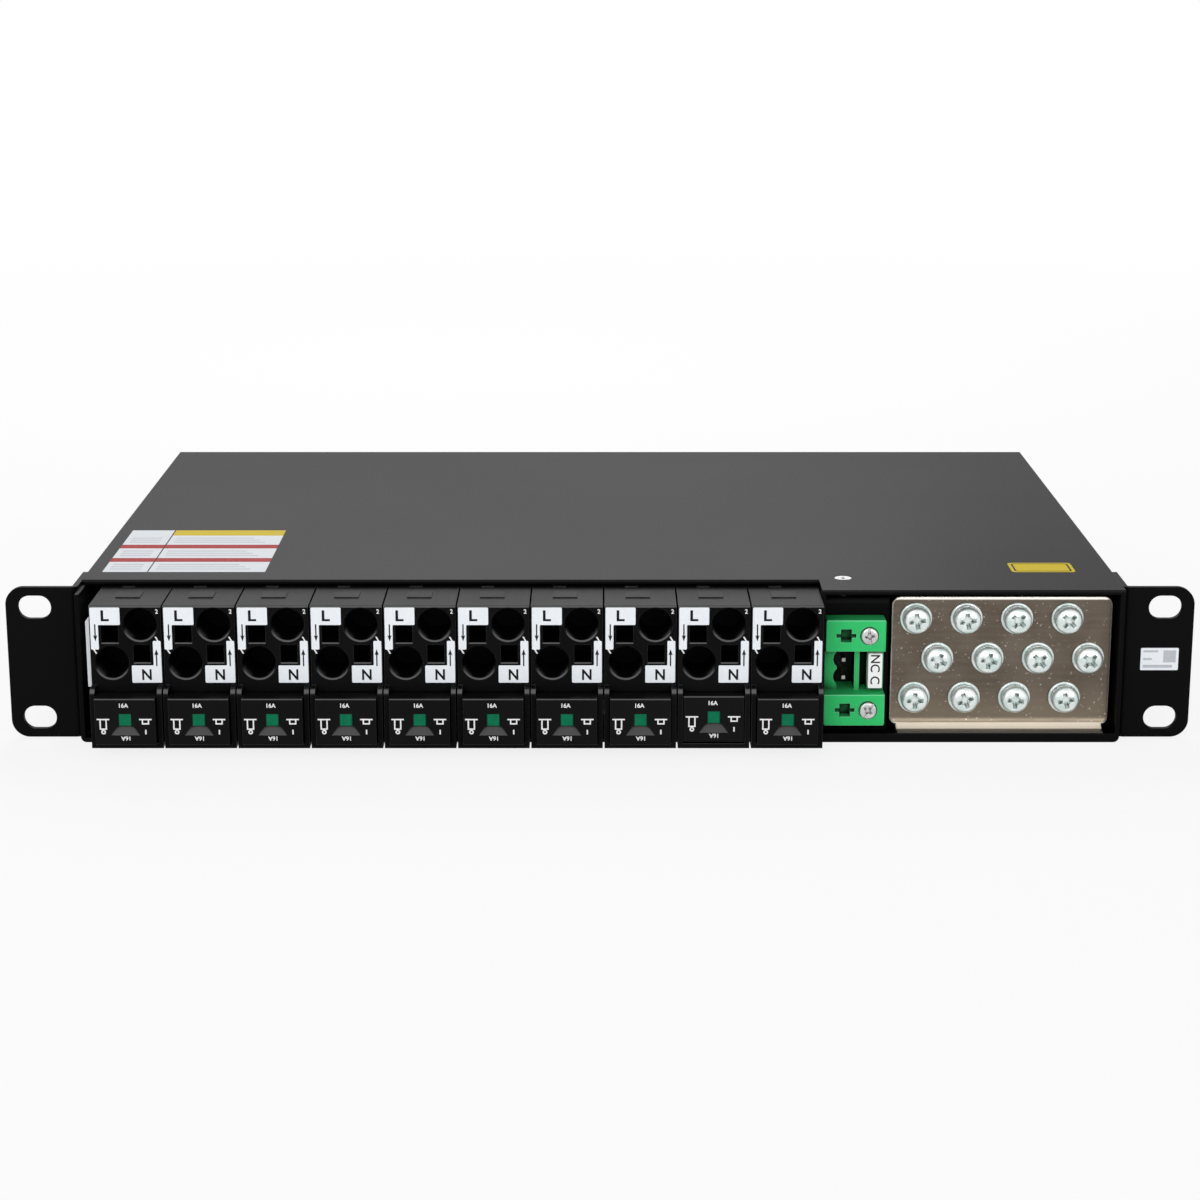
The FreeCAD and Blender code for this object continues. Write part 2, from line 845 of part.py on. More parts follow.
def build_rail():
    """Hat-section rail on the floor that carries the breakers."""
    body = new_body("breaker_rail")
    lip = d.rail_width / 2
    web = d.rail_web / 2
    sheet = d.rail_sheet
    under = rail_top - sheet
    draw_outline(side_sketch(body, row_left), [
        (rail_mid - lip, under),
        (rail_mid - web, under),
        (rail_mid - web, floor_top),
        (rail_mid + web, floor_top),
        (rail_mid + web, under),
        (rail_mid + lip, under),
        (rail_mid + lip, rail_top),
        (rail_mid + web - sheet, rail_top),
        (rail_mid + web - sheet, floor_top + sheet),
        (rail_mid - web + sheet, floor_top + sheet),
        (rail_mid - web + sheet, rail_top),
        (rail_mid - lip, rail_top),
    ])
    pad(body, body.Group[-1], row_width)
    return keep(body)


def build_spacer():
    """White insulating plate on the outer side of the first breaker."""
    body = new_body("end_spacer")
    right = row_left + d.pole_gap / 2
    top = pole_top - d.spacer_drop
    outline = front_sketch(body, pole_front + d.spacer_set)
    draw_rectangle(outline, right - d.spacer_sheet, top - d.spacer_height, right, top)
    pad(body, body.Group[-1], d.spacer_depth, backward=True)
    return keep(body)


def build_wall():
    """Folded wall between the breakers and the bay, with a set-back top flange under the cover."""
    body = new_body("bay_wall")
    draw_outline(front_sketch(body, -d.box_nose), [
        (wall_left, floor_top),
        (wall_right, floor_top),
        (wall_right, cover_under - d.wall_sheet),
        (wall_left + d.wall_flange, cover_under - d.wall_sheet),
        (wall_left + d.wall_flange, cover_under),
        (wall_left, cover_under),
    ])
    pad(body, body.Group[-1], d.box_nose + pole_back + d.wall_past, backward=True)
    notch = plan_sketch(body, cover_under)
    draw_rectangle(notch, wall_right, -d.box_nose, wall_left + d.wall_flange, d.panel_set)
    pocket(body, notch, d.wall_sheet)
    thread = plan_sketch(body, cover_under)
    draw_circle(thread, cover_screw_x, cover_screw_y, d.case_thread + d.case_thread_play)
    pocket(body, thread, d.wall_sheet * 2)
    return keep(body)


def build_panel():
    """Black panel behind the header, folded back along its top and its foot."""
    body = new_body("header_panel")
    sheet = d.box_sheet
    top_back = d.panel_set + d.panel_flange
    foot_back = d.panel_set + d.panel_foot
    draw_outline(side_sketch(body, wall_right), [
        (d.panel_set, floor_top),
        (foot_back, floor_top),
        (foot_back, floor_top + sheet),
        (panel_back, floor_top + sheet),
        (panel_back, panel_top - sheet),
        (top_back, panel_top - sheet),
        (top_back, panel_top),
        (d.panel_set, panel_top),
    ])
    pad(body, body.Group[-1], panel_width)
    round_edges(body, d.box_bend, X_AXIS, {"y": d.panel_set, "z": panel_top})
    middle = header_left + d.header_width / 2
    half = d.header_tail_width / 2 + d.header_tail_play
    tall = d.header_height / 2 - d.header_block + d.header_tail_play
    cutout = front_sketch(body, d.panel_set)
    draw_rectangle(cutout, middle - half, header_mid - tall, middle + half, header_mid + tall)
    pocket(body, cutout, sheet * 2)
    return keep(body)


def header_screw_places():
    """X and Z of the header's two screws."""
    across = header_left + d.header_screw_x
    inset = d.header_block / 2
    return [(across, d.header_bottom + inset), (across, header_top - inset)]


def build_header():
    """Green header: two flange blocks, a plug well with round pin bays, and latch holes."""
    body = new_body("header_body")
    right = header_left + d.header_width
    draw_rectangle(front_sketch(body, d.panel_set), header_left, d.header_bottom, right, header_top)
    pad(body, body.Group[-1], d.header_reach)
    round_edges(
        body, d.header_edge, Y_AXIS,
        {"x": header_left, "z": header_top}, {"x": right, "z": header_top},
        {"x": header_left, "z": d.header_bottom}, {"x": right, "z": d.header_bottom})
    well_low = d.header_bottom + d.header_block
    well_high = header_top - d.header_block
    recess = front_sketch(body, header_front)
    draw_rectangle(recess, header_left - d.header_edge, well_low, right + d.header_edge, well_high)
    pocket(body, recess, d.header_reach - d.header_ledge)
    brow = {"y": header_front}
    round_edges(body, d.header_brow, X_AXIS, dict(brow, z=header_top), dict(brow, z=well_low))
    middle = header_left + d.header_width / 2
    half = d.header_tail_width / 2
    draw_rectangle(front_sketch(body, d.panel_set), middle - half, well_low, middle + half, well_high)
    pad(body, body.Group[-1], d.header_tail_depth, backward=True)
    ledge = d.panel_set - d.header_ledge
    plug_left = header_left + d.plug_left
    plug = front_sketch(body, ledge)
    draw_rectangle(plug, plug_left, well_low, plug_left + d.plug_width, well_high)
    pocket(body, plug, d.plug_depth)
    for side in (-1, 1):
        bay = front_sketch(body, ledge)
        draw_circle(bay, plug_left + d.pin_set, header_mid + side * d.pin_pitch / 2, d.pin_bay)
        pocket(body, bay, d.plug_depth)
    key_left = header_left + d.key_left
    key = front_sketch(body, ledge)
    draw_rectangle(key, key_left, well_low, key_left + d.key_width, well_high)
    pocket(body, key, d.key_depth)
    latch_mid = header_left + d.latch_x
    for up in (d.header_bottom + d.header_block / 2, header_top - d.header_block / 2):
        for wide, tall in ((d.latch_wide, d.latch_thin), (d.latch_core, d.latch_tall)):
            arm = front_sketch(body, header_front)
            draw_rectangle(arm, latch_mid - wide / 2, up - tall / 2, latch_mid + wide / 2, up + tall / 2)
            pocket(body, arm, d.latch_depth)
    seats = front_sketch(body, header_front)
    for across, up in header_screw_places():
        draw_circle(seats, across, up, d.header_screw_radius + d.header_screw_play)
    pocket(body, seats, d.header_screw_sink)
    return keep(body)


def build_header_metal():
    """Pins in the plug well, and the slotted screws in the flange blocks."""
    members = []
    middle = header_left + d.plug_left + d.pin_set
    base = d.panel_set - d.header_ledge + d.plug_depth
    for index, side in enumerate((-1, 1)):
        body = new_body("header_pin_%d" % (index + 1))
        up = header_mid + side * d.pin_pitch / 2
        half = d.pin_side / 2
        draw_rectangle(front_sketch(body, base), middle - half, up - half, middle + half, up + half)
        pad(body, body.Group[-1], d.pin_length)
        members.append(body)
    keep_group("header_pins", members)
    members = []
    for index, (across, up) in enumerate(header_screw_places()):
        profile = [
            (0.0, 0.0),
            (d.header_screw_radius, 0.0),
            (d.header_screw_radius, d.header_screw_head),
            (0.0, d.header_screw_head),
        ]
        place = (across, header_front + d.header_screw_sink, up)
        members.append(turned("header_screw_%d" % (index + 1), profile, place, TO_FRONT))
    keep_group("header_screws", members)


def earth_places():
    """X and Z of the earth screws: rows of a staggered grid."""
    places = []
    for row in range(EARTH_ROWS):
        shift = d.earth_stagger if row % 2 else 0.0
        for column in range(EARTH_COLUMNS):
            across = plate_left + d.earth_left + d.earth_pitch_x * column + shift
            places.append((across, plate_top - d.earth_top - d.earth_pitch_z * row))
    return places


def plate_foot_places():
    """X and Y of the screws that hold the earth plate's flange to the floor."""
    middle = plate_left + plate_width / 2
    back = d.plate_set + d.plate_flange * 2 / 3
    return [(middle + side * d.earth_pitch_x, back) for side in (-1, 1)]


def build_earth_plate():
    """Tinned plate with a lip in front of its foot and a flange behind, and a grid of screw holes."""
    body = new_body("earth_plate")
    inset = d.plate_flange_inset
    lip_front = d.plate_set - d.plate_lip
    foot_top = floor_top + d.plate_sheet
    draw_outline(side_sketch(body, plate_left), [
        (lip_front, floor_top),
        (d.plate_set + d.plate_flange, floor_top),
        (d.plate_set + d.plate_flange, foot_top),
        (plate_back, foot_top),
        (plate_back, plate_top),
        (d.plate_set, plate_top),
        (d.plate_set, foot_top),
        (lip_front, foot_top),
    ])
    pad(body, body.Group[-1], plate_width)
    round_edges(body, d.plate_bend, X_AXIS, {"y": d.plate_set, "z": foot_top})
    round_edges(body, d.plate_heel, X_AXIS, {"y": plate_back, "z": foot_top})
    round_edges(
        body, d.plate_corner, Y_AXIS,
        {"x": plate_left, "z": plate_top}, {"x": plate_right, "z": plate_top})
    relief_top = floor_top + d.plate_notch
    relief = front_sketch(body, lip_front - d.plate_sheet)
    draw_rectangle(relief, plate_left - inset, floor_top - inset, plate_left + inset, relief_top)
    draw_rectangle(relief, plate_right - inset, floor_top - inset, plate_right + inset, relief_top)
    pocket(body, relief, d.plate_lip + d.plate_flange + d.plate_sheet * 2)
    round_edges(
        body, inset - d.plate_foot_land, Y_AXIS,
        {"x": plate_left, "z": relief_top}, {"x": plate_right, "z": relief_top})
    holes = front_sketch(body, d.plate_set)
    for across, up in earth_places():
        draw_circle(holes, across, up, d.earth_thread + d.earth_thread_play)
    pocket(body, holes, d.plate_sheet * 2)
    return keep(body)


def build_earth_hardware():
    """Screws with captive washers on the earth plate, and the nuts behind it."""
    screws, washers, nuts = [], [], []
    stack = d.washer_sheet + d.spring_ring_sheet
    rim = d.earth_head_radius - d.earth_head_round
    hole = d.earth_thread + d.earth_thread_play
    screw_profile = [
        (0.0, stack - d.earth_thread_length - d.plate_sheet),
        (d.earth_thread, stack - d.earth_thread_length - d.plate_sheet),
        (d.earth_thread, stack),
        (d.earth_head_radius, stack),
        (d.earth_head_radius, stack + d.earth_head_height - d.earth_head_round),
        (rim, stack + d.earth_head_height),
        (0.0, stack + d.earth_head_height),
    ]
    washer_profile = [
        (hole, 0.0),
        (d.washer_radius, 0.0),
        (d.washer_radius, d.washer_sheet),
        (d.spring_ring_radius, d.washer_sheet),
        (d.spring_ring_radius, stack),
        (hole, stack),
    ]
    for index, (across, up) in enumerate(earth_places(), start=1):
        place = (across, d.plate_set, up)
        screws.append(turned("earth_screw_%02d" % index, screw_profile, place, TO_FRONT))
        washers.append(turned("earth_washer_%02d" % index, washer_profile, place, TO_FRONT))
        nuts.append(hex_ring("earth_nut_%02d" % index, (across, plate_back, up), d.nut_flats,
                             hole, d.nut_height))
    keep_group("earth_screws", screws)
    keep_group("earth_washers", washers)
    keep_group("earth_nuts", nuts)


def hex_corners(flats):
    """Corners of a hexagon with the given width across its flats."""
    reach = flats / math.sqrt(3)
    corners = []
    for step in range(6):
        angle = math.radians(60 * step)
        corners.append((reach * math.cos(angle), reach * math.sin(angle)))
    return corners


def hex_ring(name, place, flats, hole, height):
    """A hexagonal nut that stands on its place and reaches back along Y."""
    body = new_body(name, *place)
    draw_outline(front_sketch(body, 0.0), hex_corners(flats))
    pad(body, body.Group[-1], height, backward=True)
    bore = front_sketch(body, 0.0)
    draw_circle(bore, 0.0, 0.0, hole)
    pocket(body, bore, height * 2)
    return body


def bar_screw_places(bottom):
    """X and Z of the screws that hold a supply bar to the breakers."""
    return [(pole_mid(number), bottom + d.bar_height / 2) for number in range(1, POLES + 1)]


def build_bar(name, bottom, side):
    """A supply bar behind the breakers, folded back at its tail to reach the input block."""
    body = new_body(name)
    tail_x = input_mid + side * d.pole_pitch / 2 - d.bar_sheet / 2
    bar_back = pole_back + d.bar_sheet
    draw_outline(plan_sketch(body, bottom), [
        (row_left, pole_back),
        (row_right, pole_back),
        (row_right, bar_back),
        (tail_x + d.bar_sheet, bar_back),
        (tail_x + d.bar_sheet, input_front),
        (tail_x, input_front),
        (tail_x, bar_back),
        (row_left, bar_back),
    ])
    pad(body, body.Group[-1], d.bar_height)
    return keep(body)


def build_bar_screws():
    """Hexagon screws that hold the two supply bars to the breakers."""
    members = []
    for label, bottom in (("live", live_bottom), ("neutral", neutral_bottom)):
        for index, (across, up) in enumerate(bar_screw_places(bottom), start=1):
            body = new_body("%s_screw_%02d" % (label, index), across, pole_back + d.bar_sheet, up)
            draw_outline(front_sketch(body, 0.0), hex_corners(d.bar_screw_flats))
            pad(body, body.Group[-1], d.bar_screw_head, backward=True)
            members.append(body)
    keep_group("bar_screws", members)


def build_input():
    """Terminal block where the supply cable is clamped, with its wire entries at the back."""
    body = new_body("input_block")
    left = input_mid - d.input_width / 2
    draw_rectangle(plan_sketch(body, floor_top), left, input_front, left + d.input_width, input_back)
    pad(body, body.Group[-1], d.input_height)
    entries = front_sketch(body, input_back)
    for side in (-1, 1):
        draw_circle(entries, input_mid + side * d.pole_pitch / 2, inlet_mid, d.input_wire_radius)
    feature = pocket(body, entries, d.input_wire_depth)
    feature.Reversed = True
    return keep(body)


def build_inlet():
    """Rubber grommet that lines the supply inlet in the back wall."""
    lip = inlet_lip_radius
    inner_face = d.box_sheet
    profile = [
        (d.inlet_inner, -d.inlet_lip_sheet - inner_face),
        (lip, -d.inlet_lip_sheet - inner_face),
        (lip, -inner_face),
        (d.inlet_radius, -inner_face),
        (d.inlet_radius, 0.0),
        (lip, 0.0),
        (lip, d.inlet_lip_sheet),
        (d.inlet_inner, d.inlet_lip_sheet),
    ]
    return keep(turned("inlet_grommet", profile, (input_mid, d.box_depth, inlet_mid), TO_BACK))


def build_plate_screws():
    """Screws that hold the earth plate's flange to the floor."""
    members = []
    for index, (across, back) in enumerate(plate_foot_places(), start=1):
        place = (across, back, floor_top + d.plate_sheet)
        profile = pan_screw_profile()[2:]
        profile[0] = (0.0, 0.0)
        members.append(turned("earth_plate_screw_%d" % index, profile, place, UPRIGHT))
    keep_group("earth_plate_screws", members)


def build_all():
    """Build every node in order, from the case to the supply side."""
    build_tray()
    build_cover()
    build_ear("left_ear", -1)
    build_ear("right_ear", 1)
    build_case_screws()
    for number in range(1, POLES + 1):
        build_breaker(number)
        build_button(number)
        build_window(number)
    build_rail()
    build_spacer()
    build_wall()
    build_panel()
    build_header()
    build_header_metal()
    build_earth_plate()
    build_earth_hardware()
    build_plate_screws()
    build_bar("live_bar", live_bottom, -1)
    build_bar("neutral_bar", neutral_bottom, 1)
    build_bar_screws()
    build_input()
    build_inlet()
    doc.recompute()


def check_all():
    """Stop with a message where an object failed or a node has no sound shape."""
    for thing in doc.Objects:
        if "Invalid" in thing.State or "Error" in thing.State:
            raise RuntimeError("failed object: %s %s" % (thing.Label, thing.State))
    for node in nodes:
        if node.Shape.isNull() or not node.Shape.isValid() or not node.Shape.Solids:
            raise RuntimeError("unsound shape: " + node.Label)


def write_all():
    """Write each node to a file of its own name."""
    os.makedirs("parts", exist_ok=True)
    for node in nodes:
        node.Shape.exportStep(os.path.join("parts", node.Label + ".step"))


build_all()
check_all()
write_all()
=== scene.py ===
"""Looks of a low rack-mounted power distribution box.

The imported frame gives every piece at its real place.  This script dresses those pieces,
adds the labels, the print and the detailed fasteners, and sets up the floor, the light
and the camera.  Lengths are in metres, and MM turns millimetres into them.
"""

import json
import logging
import math
from collections.abc import Iterable, Sequence
from dataclasses import dataclass, field
from enum import Enum
from typing import Any

import bmesh
import bpy
from mathutils import Matrix, Vector


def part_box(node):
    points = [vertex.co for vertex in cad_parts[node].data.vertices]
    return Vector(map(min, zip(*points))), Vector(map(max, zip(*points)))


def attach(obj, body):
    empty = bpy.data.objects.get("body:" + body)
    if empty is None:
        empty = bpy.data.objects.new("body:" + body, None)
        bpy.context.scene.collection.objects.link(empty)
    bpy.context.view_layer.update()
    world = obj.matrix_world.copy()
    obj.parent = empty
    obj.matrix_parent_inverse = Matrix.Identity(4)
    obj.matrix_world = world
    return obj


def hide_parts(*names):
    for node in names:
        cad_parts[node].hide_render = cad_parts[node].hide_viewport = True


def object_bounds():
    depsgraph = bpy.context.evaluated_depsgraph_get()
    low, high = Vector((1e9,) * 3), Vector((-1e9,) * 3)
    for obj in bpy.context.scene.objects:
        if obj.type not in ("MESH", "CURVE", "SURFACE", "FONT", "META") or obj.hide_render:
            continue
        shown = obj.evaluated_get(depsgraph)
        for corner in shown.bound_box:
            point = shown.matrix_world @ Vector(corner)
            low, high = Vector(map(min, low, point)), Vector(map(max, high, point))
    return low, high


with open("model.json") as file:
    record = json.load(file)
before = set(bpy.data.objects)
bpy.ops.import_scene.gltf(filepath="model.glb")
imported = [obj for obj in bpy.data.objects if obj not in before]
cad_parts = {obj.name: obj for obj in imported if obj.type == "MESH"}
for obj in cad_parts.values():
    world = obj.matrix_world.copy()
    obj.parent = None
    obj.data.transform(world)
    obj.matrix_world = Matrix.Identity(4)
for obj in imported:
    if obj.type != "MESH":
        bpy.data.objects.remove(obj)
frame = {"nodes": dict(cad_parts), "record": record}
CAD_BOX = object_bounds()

MM = 0.001
CASE_BODY = "case"
LOG = logging.getLogger("power_box")

# Points closer than this are one: in a mesh of the frame, and in letters at the font's own size
WELD = 0.001 * MM
FONT_WELD = 0.0005
# Steps along each curve of a letter
FONT_STEPS = 4
# Decimals of a metre that tell rows of small pieces apart
PLACE_DIGITS = 4
# Rays that look for edges and recesses, and the spans over which both fade in
EDGE_SAMPLES = 6
EDGE_SPAN = (0.02, 0.2)
HOLLOW_SAMPLES = 12
HOLLOW_SPAN = (0.42, 0.68)

Triple = tuple[float, float, float]
Color = Triple
Point = tuple[float, float]
Span = tuple[float, float]
Level = tuple[Sequence[Point], float]

WHITE: Color = (1.0, 1.0, 1.0)


def grey(level: float) -> Color:
    """Give a neutral colour."""
    return (level, level, level)


@dataclass(frozen=True)
class Wire:
    """One output of a node tree, which takes part in Python expressions."""

    tree: "Tree"
    socket: bpy.types.NodeSocket

    def join(self, operation: str, first: "Wire | float", second: "Wire | float") -> "Wire":
        """Add one Math node.

        Args:
            operation: The Math node's operation.
            first: A wire or a number.
            second: A wire or a number.

        Returns:
            The result.
        """
        return self.tree.node("ShaderNodeMath", {"operation": operation}, {0: first, 1: second})

    def __add__(self, other: "Wire | float") -> "Wire":
        """Add a value."""
        return self.join("ADD", self, other)

    def __radd__(self, other: float) -> "Wire":
        """Add to a number."""
        return self.join("ADD", other, self)

    def __sub__(self, other: "Wire | float") -> "Wire":
        """Take a value away."""
        return self.join("SUBTRACT", self, other)

    def __rsub__(self, other: float) -> "Wire":
        """Take this away from a number."""
        return self.join("SUBTRACT", other, self)

    def __mul__(self, other: "Wire | float") -> "Wire":
        """Multiply by a value."""
        return self.join("MULTIPLY", self, other)

    def most(self, other: "Wire | float") -> "Wire":
        """Give the larger of two values."""
        return self.join("MAXIMUM", self, other)

    def swing(self, amount: float) -> "Wire":
        """Turn a value about 0.5 into one about 0 that swings by an amount."""
        return (self - 0.5) * amount


class Tree:
    """The node tree of a material or a world."""

    def __init__(self, owner: bpy.types.Material | bpy.types.World) -> None:
        """Empty the owner's tree.

        Args:
            owner: The material or world.
        """
        owner.use_nodes = True
        self.nodes = owner.node_tree.nodes
        self.links = owner.node_tree.links
        self.nodes.clear()

    def node(self, kind: str, settings: dict[str, Any] | None = None,
             sockets: dict[str | int, Any] | None = None, out: str | int = 0) -> Wire | None:
        """Make a node, set it up and join its sockets.

        Args:
            kind: The node's type.
            settings: Its own settings, set before its sockets.
            sockets: Values or wires for its inputs.
            out: The output to hand back.

        Returns:
            That output, or None for a node without one.
        """
        made = self.nodes.new(kind)
        for key, value in (settings or {}).items():
            setattr(made, key, value)
        for key, value in (sockets or {}).items():
            socket = made.inputs[key]
            if isinstance(value, Wire):
                self.links.new(value.socket, socket)
            elif socket.type == "RGBA":
                socket.default_value = (*value, 1.0)
            else:
                socket.default_value = value
        return Wire(self, made.outputs[out]) if made.outputs else None

    def noise(self, size: float, detail: float = 2.0, stretch: Triple = (1.0, 1.0, 1.0)) -> Wire:
        """Make a cloudy value that stays with the piece.

        Args:
            size: Width of its patches.
            detail: How many finer layers it has.
            stretch: How much longer the patches are along each axis.

        Returns:
            The value, about 0.3 to 0.7.
        """
        place = self.node("ShaderNodeTexCoord", out="Object")
        shrink = tuple(1.0 / amount for amount in stretch)
        place = self.node("ShaderNodeVectorMath", {"operation": "MULTIPLY"}, {0: place, 1: shrink})
        return self.node("ShaderNodeTexNoise", {}, {"Vector": place, "Scale": 1.0 / size, "Detail": detail})

    def ease(self, value: Wire, span: Span) -> Wire:
        """Spread a value smoothly from 0 to 1.

        Args:
            value: The value to spread.
            span: Where it gives 0, and where it gives 1.

        Returns:
            The spread value.
        """
        low, high = span
        return self.node("ShaderNodeMapRange", {"interpolation_type": "SMOOTHSTEP"},
                         {"Value": value, "From Min": low, "From Max": high})

    def blend(self, share: Wire, first: "Wire | Color", second: "Wire | Color") -> Wire:
        """Blend two colours.

        Args:
            share: How much of the second colour shows.
            first: A colour.
            second: A colour.

        Returns:
            The blended colour.
        """
        return self.node("ShaderNodeMix", {"data_type": "RGBA"}, {0: share, 6: first, 7: second}, out=2)

    def soft_edges(self, radius: float) -> tuple[Wire, Wire]:
        """Round the shading of hard edges.

        Args:
            radius: Radius of the edges.

        Returns:
            The rounded normal, and how close a point is to an edge.
        """
        soft = self.node("ShaderNodeBevel", {"samples": EDGE_SAMPLES}, {"Radius": radius})
        plain = self.node("ShaderNodeNewGeometry", out="Normal")
        agree = self.node("ShaderNodeVectorMath", {"operation": "DOT_PRODUCT"}, {0: soft, 1: plain}, out=1)
        return soft, self.ease(1.0 - agree, EDGE_SPAN)

    def hollows(self, reach: float, span: Span = HOLLOW_SPAN) -> Wire:
        """Find recesses and narrow gaps, where the finishes paint shade.

        Args:
            reach: How far off their walls may be.
            span: How closed in a place is where a recess starts, and deep in it.

        Returns:
            1 deep in a recess and 0 in the open.
        """
        openness = self.node("ShaderNodeAmbientOcclusion", {"samples": HOLLOW_SAMPLES},
                             {"Distance": reach}, out="AO")
        return self.ease(1.0 - openness, span)

    def along(self, axis: str) -> Wire:
        """Give the place along X, Y or Z."""
        place = self.node("ShaderNodeTexCoord", out="Object")
        return self.node("ShaderNodeSeparateXYZ", {}, {0: place}, out=axis)

    def bump(self, height: Wire, depth: float, normal: Wire) -> Wire:
        """Raise a fine relief.

        Args:
            height: The relief's height from 0 to 1.
            depth: The relief's depth.
            normal: The normal under it.

        Returns:
            The normal with the relief.
        """
        return self.node("ShaderNodeBump", {}, {"Distance": depth, "Height": height, "Normal": normal})


@dataclass(frozen=True)
class Finish:
    """What all finishes share: a name, a colour, a roughness and soft edges."""

    name: str
    color: Color
    roughness: float
    edge_radius: float = 0.2 * MM

    def paint(self, tree: Tree) -> dict[str, Any]:
        """Give the shader's sockets; each kind of finish has its own.

        Args:
            tree: The material's node tree.

        Returns:
            Values and wires by socket.
        """
        raise NotImplementedError

    def material(self) -> bpy.types.Material:
        """Make the material, or find it again.

        Returns:
            The material.
        """
        found = bpy.data.materials.get(self.name)
        if found is None:
            found = bpy.data.materials.new(self.name)
            tree = Tree(found)
            shader = tree.node("ShaderNodeBsdfPrincipled", {}, self.paint(tree))
            tree.node("ShaderNodeOutputMaterial", {}, {"Surface": shader})
        return found


@dataclass(frozen=True)
class Grained(Finish):
    """Paint, plastic or rubber: fine grain, faint clouds, edges lightened partly as wear and partly as a
    painted highlight, a painted highlight on up-facing slopes, and painted shade in recesses.
    """

    cloud_color: Color = grey(0.03)
    cloud_size: float = 30 * MM
    cloud_span: Span = (0.3, 0.7)
    cloud_gloss: float = 0.05
    grain_size: float = 0.35 * MM
    grain_depth: float = 0.015 * MM
    grain_layers: float = 3.0
    grain_gloss: float = 0.12
    # Edges lightened partly as wear and partly as a painted highlight
    edge_wear_and_highlight_color: Color = grey(0.10)
    edge_wear_and_highlight_share: float = 0.5
    # Up-facing slopes lightened: a painted highlight from light above
    slope_highlight_color: Color = grey(0.10)
    slope_highlight_share: float = 0.6
    slope_start: Span = (0.2, 0.5)
    slope_end: Span = (0.75, 0.95)
    top_start: Span = (0.7, 0.95)
    # How far faces that look up are spared the painted shade of recesses
    lit_top: float = 0.0
    shine: float = 0.05
    # Recesses darkened: painted shade
    hollow_reach: float = 4 * MM
    hollow_shade_color: Color = grey(0.002)
    hollow_span: Span = HOLLOW_SPAN

    def paint(self, tree: Tree) -> dict[str, Any]:
        """Give the shader's sockets.

        Args:
            tree: The material's node tree.

        Returns:
            Values and wires by socket.
        """
        grain = tree.noise(self.grain_size, self.grain_layers)
        cloud = tree.ease(tree.noise(self.cloud_size), self.cloud_span)
        normal, edge = tree.soft_edges(self.edge_radius)
        color = tree.blend(cloud, self.color, self.cloud_color)
        rise = tree.node("ShaderNodeSeparateXYZ", {}, {0: normal}, out="Z")
        slope = tree.ease(rise, self.slope_start) * (1.0 - tree.ease(rise, self.slope_end))
        # Edges lightened: partly wear, partly a painted highlight
        edge_lit = tree.blend(edge * self.edge_wear_and_highlight_share, color, self.edge_wear_and_highlight_color)
        # Up-facing slopes lightened: a painted highlight
        slope_lit = tree.blend(slope * self.slope_highlight_share, edge_lit, self.slope_highlight_color)
        # Recesses darkened as painted shade, less on faces that look up
        lit = tree.ease(rise, self.top_start) * self.lit_top
        hollow_shade = tree.hollows(self.hollow_reach, self.hollow_span) * (1.0 - lit)
        return {
            "Base Color": tree.blend(hollow_shade, slope_lit, self.hollow_shade_color),
            "Roughness": self.roughness + cloud.swing(self.cloud_gloss) + grain.swing(self.grain_gloss),
            "Specular IOR Level": self.shine,
            "Normal": tree.bump(grain, self.grain_depth, normal),
        }


@dataclass(frozen=True)
class Plated(Finish):
    """Plated metal: clouds of a second tint, fine drawn lines, edges lightened partly as wear and partly as
    a painted highlight, and painted shade in recesses.
    """

    tint: Color = (0.62, 0.76, 0.70)
    tint_size: float = 4 * MM
    tint_layers: float = 3.0
    tint_span: Span = (0.38, 0.66)
    tint_gloss: float = 0.08
    line_size: float = 0.12 * MM
    line_stretch: Triple = (1.0, 1.0, 1.0)
    line_depth: float = 0.004 * MM
    line_gloss: float = 0.25
    # Edges lightened partly as wear and partly as a painted highlight
    edge_wear_and_highlight_color: Color = (0.9, 0.9, 0.88)
    edge_wear_and_highlight_share: float = 0.6
    # Recesses darkened: painted shade
    hollow_reach: float = 1.5 * MM
    hollow_shade_color: Color = (0.10, 0.12, 0.12)
    metal: float = 1.0

    def ground(self, tree: Tree, cloud: Wire) -> Wire:
        """Give the metal's colour before its edges and recesses.

        Args:
            tree: The material's node tree.
            cloud: The cloudy value.

        Returns:
            The colour.
        """
        return tree.blend(cloud, self.color, self.tint)

    def metallic(self, tree: Tree, edge: Wire) -> "Wire | float":
        """Give how metallic the surface is: alike all over here."""
        return self.metal

    def worn_and_lit_edges(self, tree: Tree, edge: Wire) -> Wire:
        """Give how far the edges are lightened, partly as wear and partly as a painted highlight."""
        return edge * self.edge_wear_and_highlight_share

    def paint(self, tree: Tree) -> dict[str, Any]:
        """Give the shader's sockets.

        Args:
            tree: The material's node tree.

        Returns:
            Values and wires by socket.
        """
        cloud = tree.ease(tree.noise(self.tint_size, self.tint_layers), self.tint_span)
        line = tree.noise(self.line_size, stretch=self.line_stretch)
        normal, edge = tree.soft_edges(self.edge_radius)
        # Edges lightened: partly wear, partly a painted highlight
        edge_lit = tree.blend(self.worn_and_lit_edges(tree, edge), self.ground(tree, cloud), self.edge_wear_and_highlight_color)
        # The base colour darkens in recesses: painted shade
        return {
            "Base Color": tree.blend(tree.hollows(self.hollow_reach), edge_lit, self.hollow_shade_color),
            "Metallic": self.metallic(tree, edge),
            "Roughness": self.roughness + cloud.swing(self.tint_gloss) + line.swing(self.line_gloss),
            "Normal": tree.bump(line, self.line_depth, normal),
        }


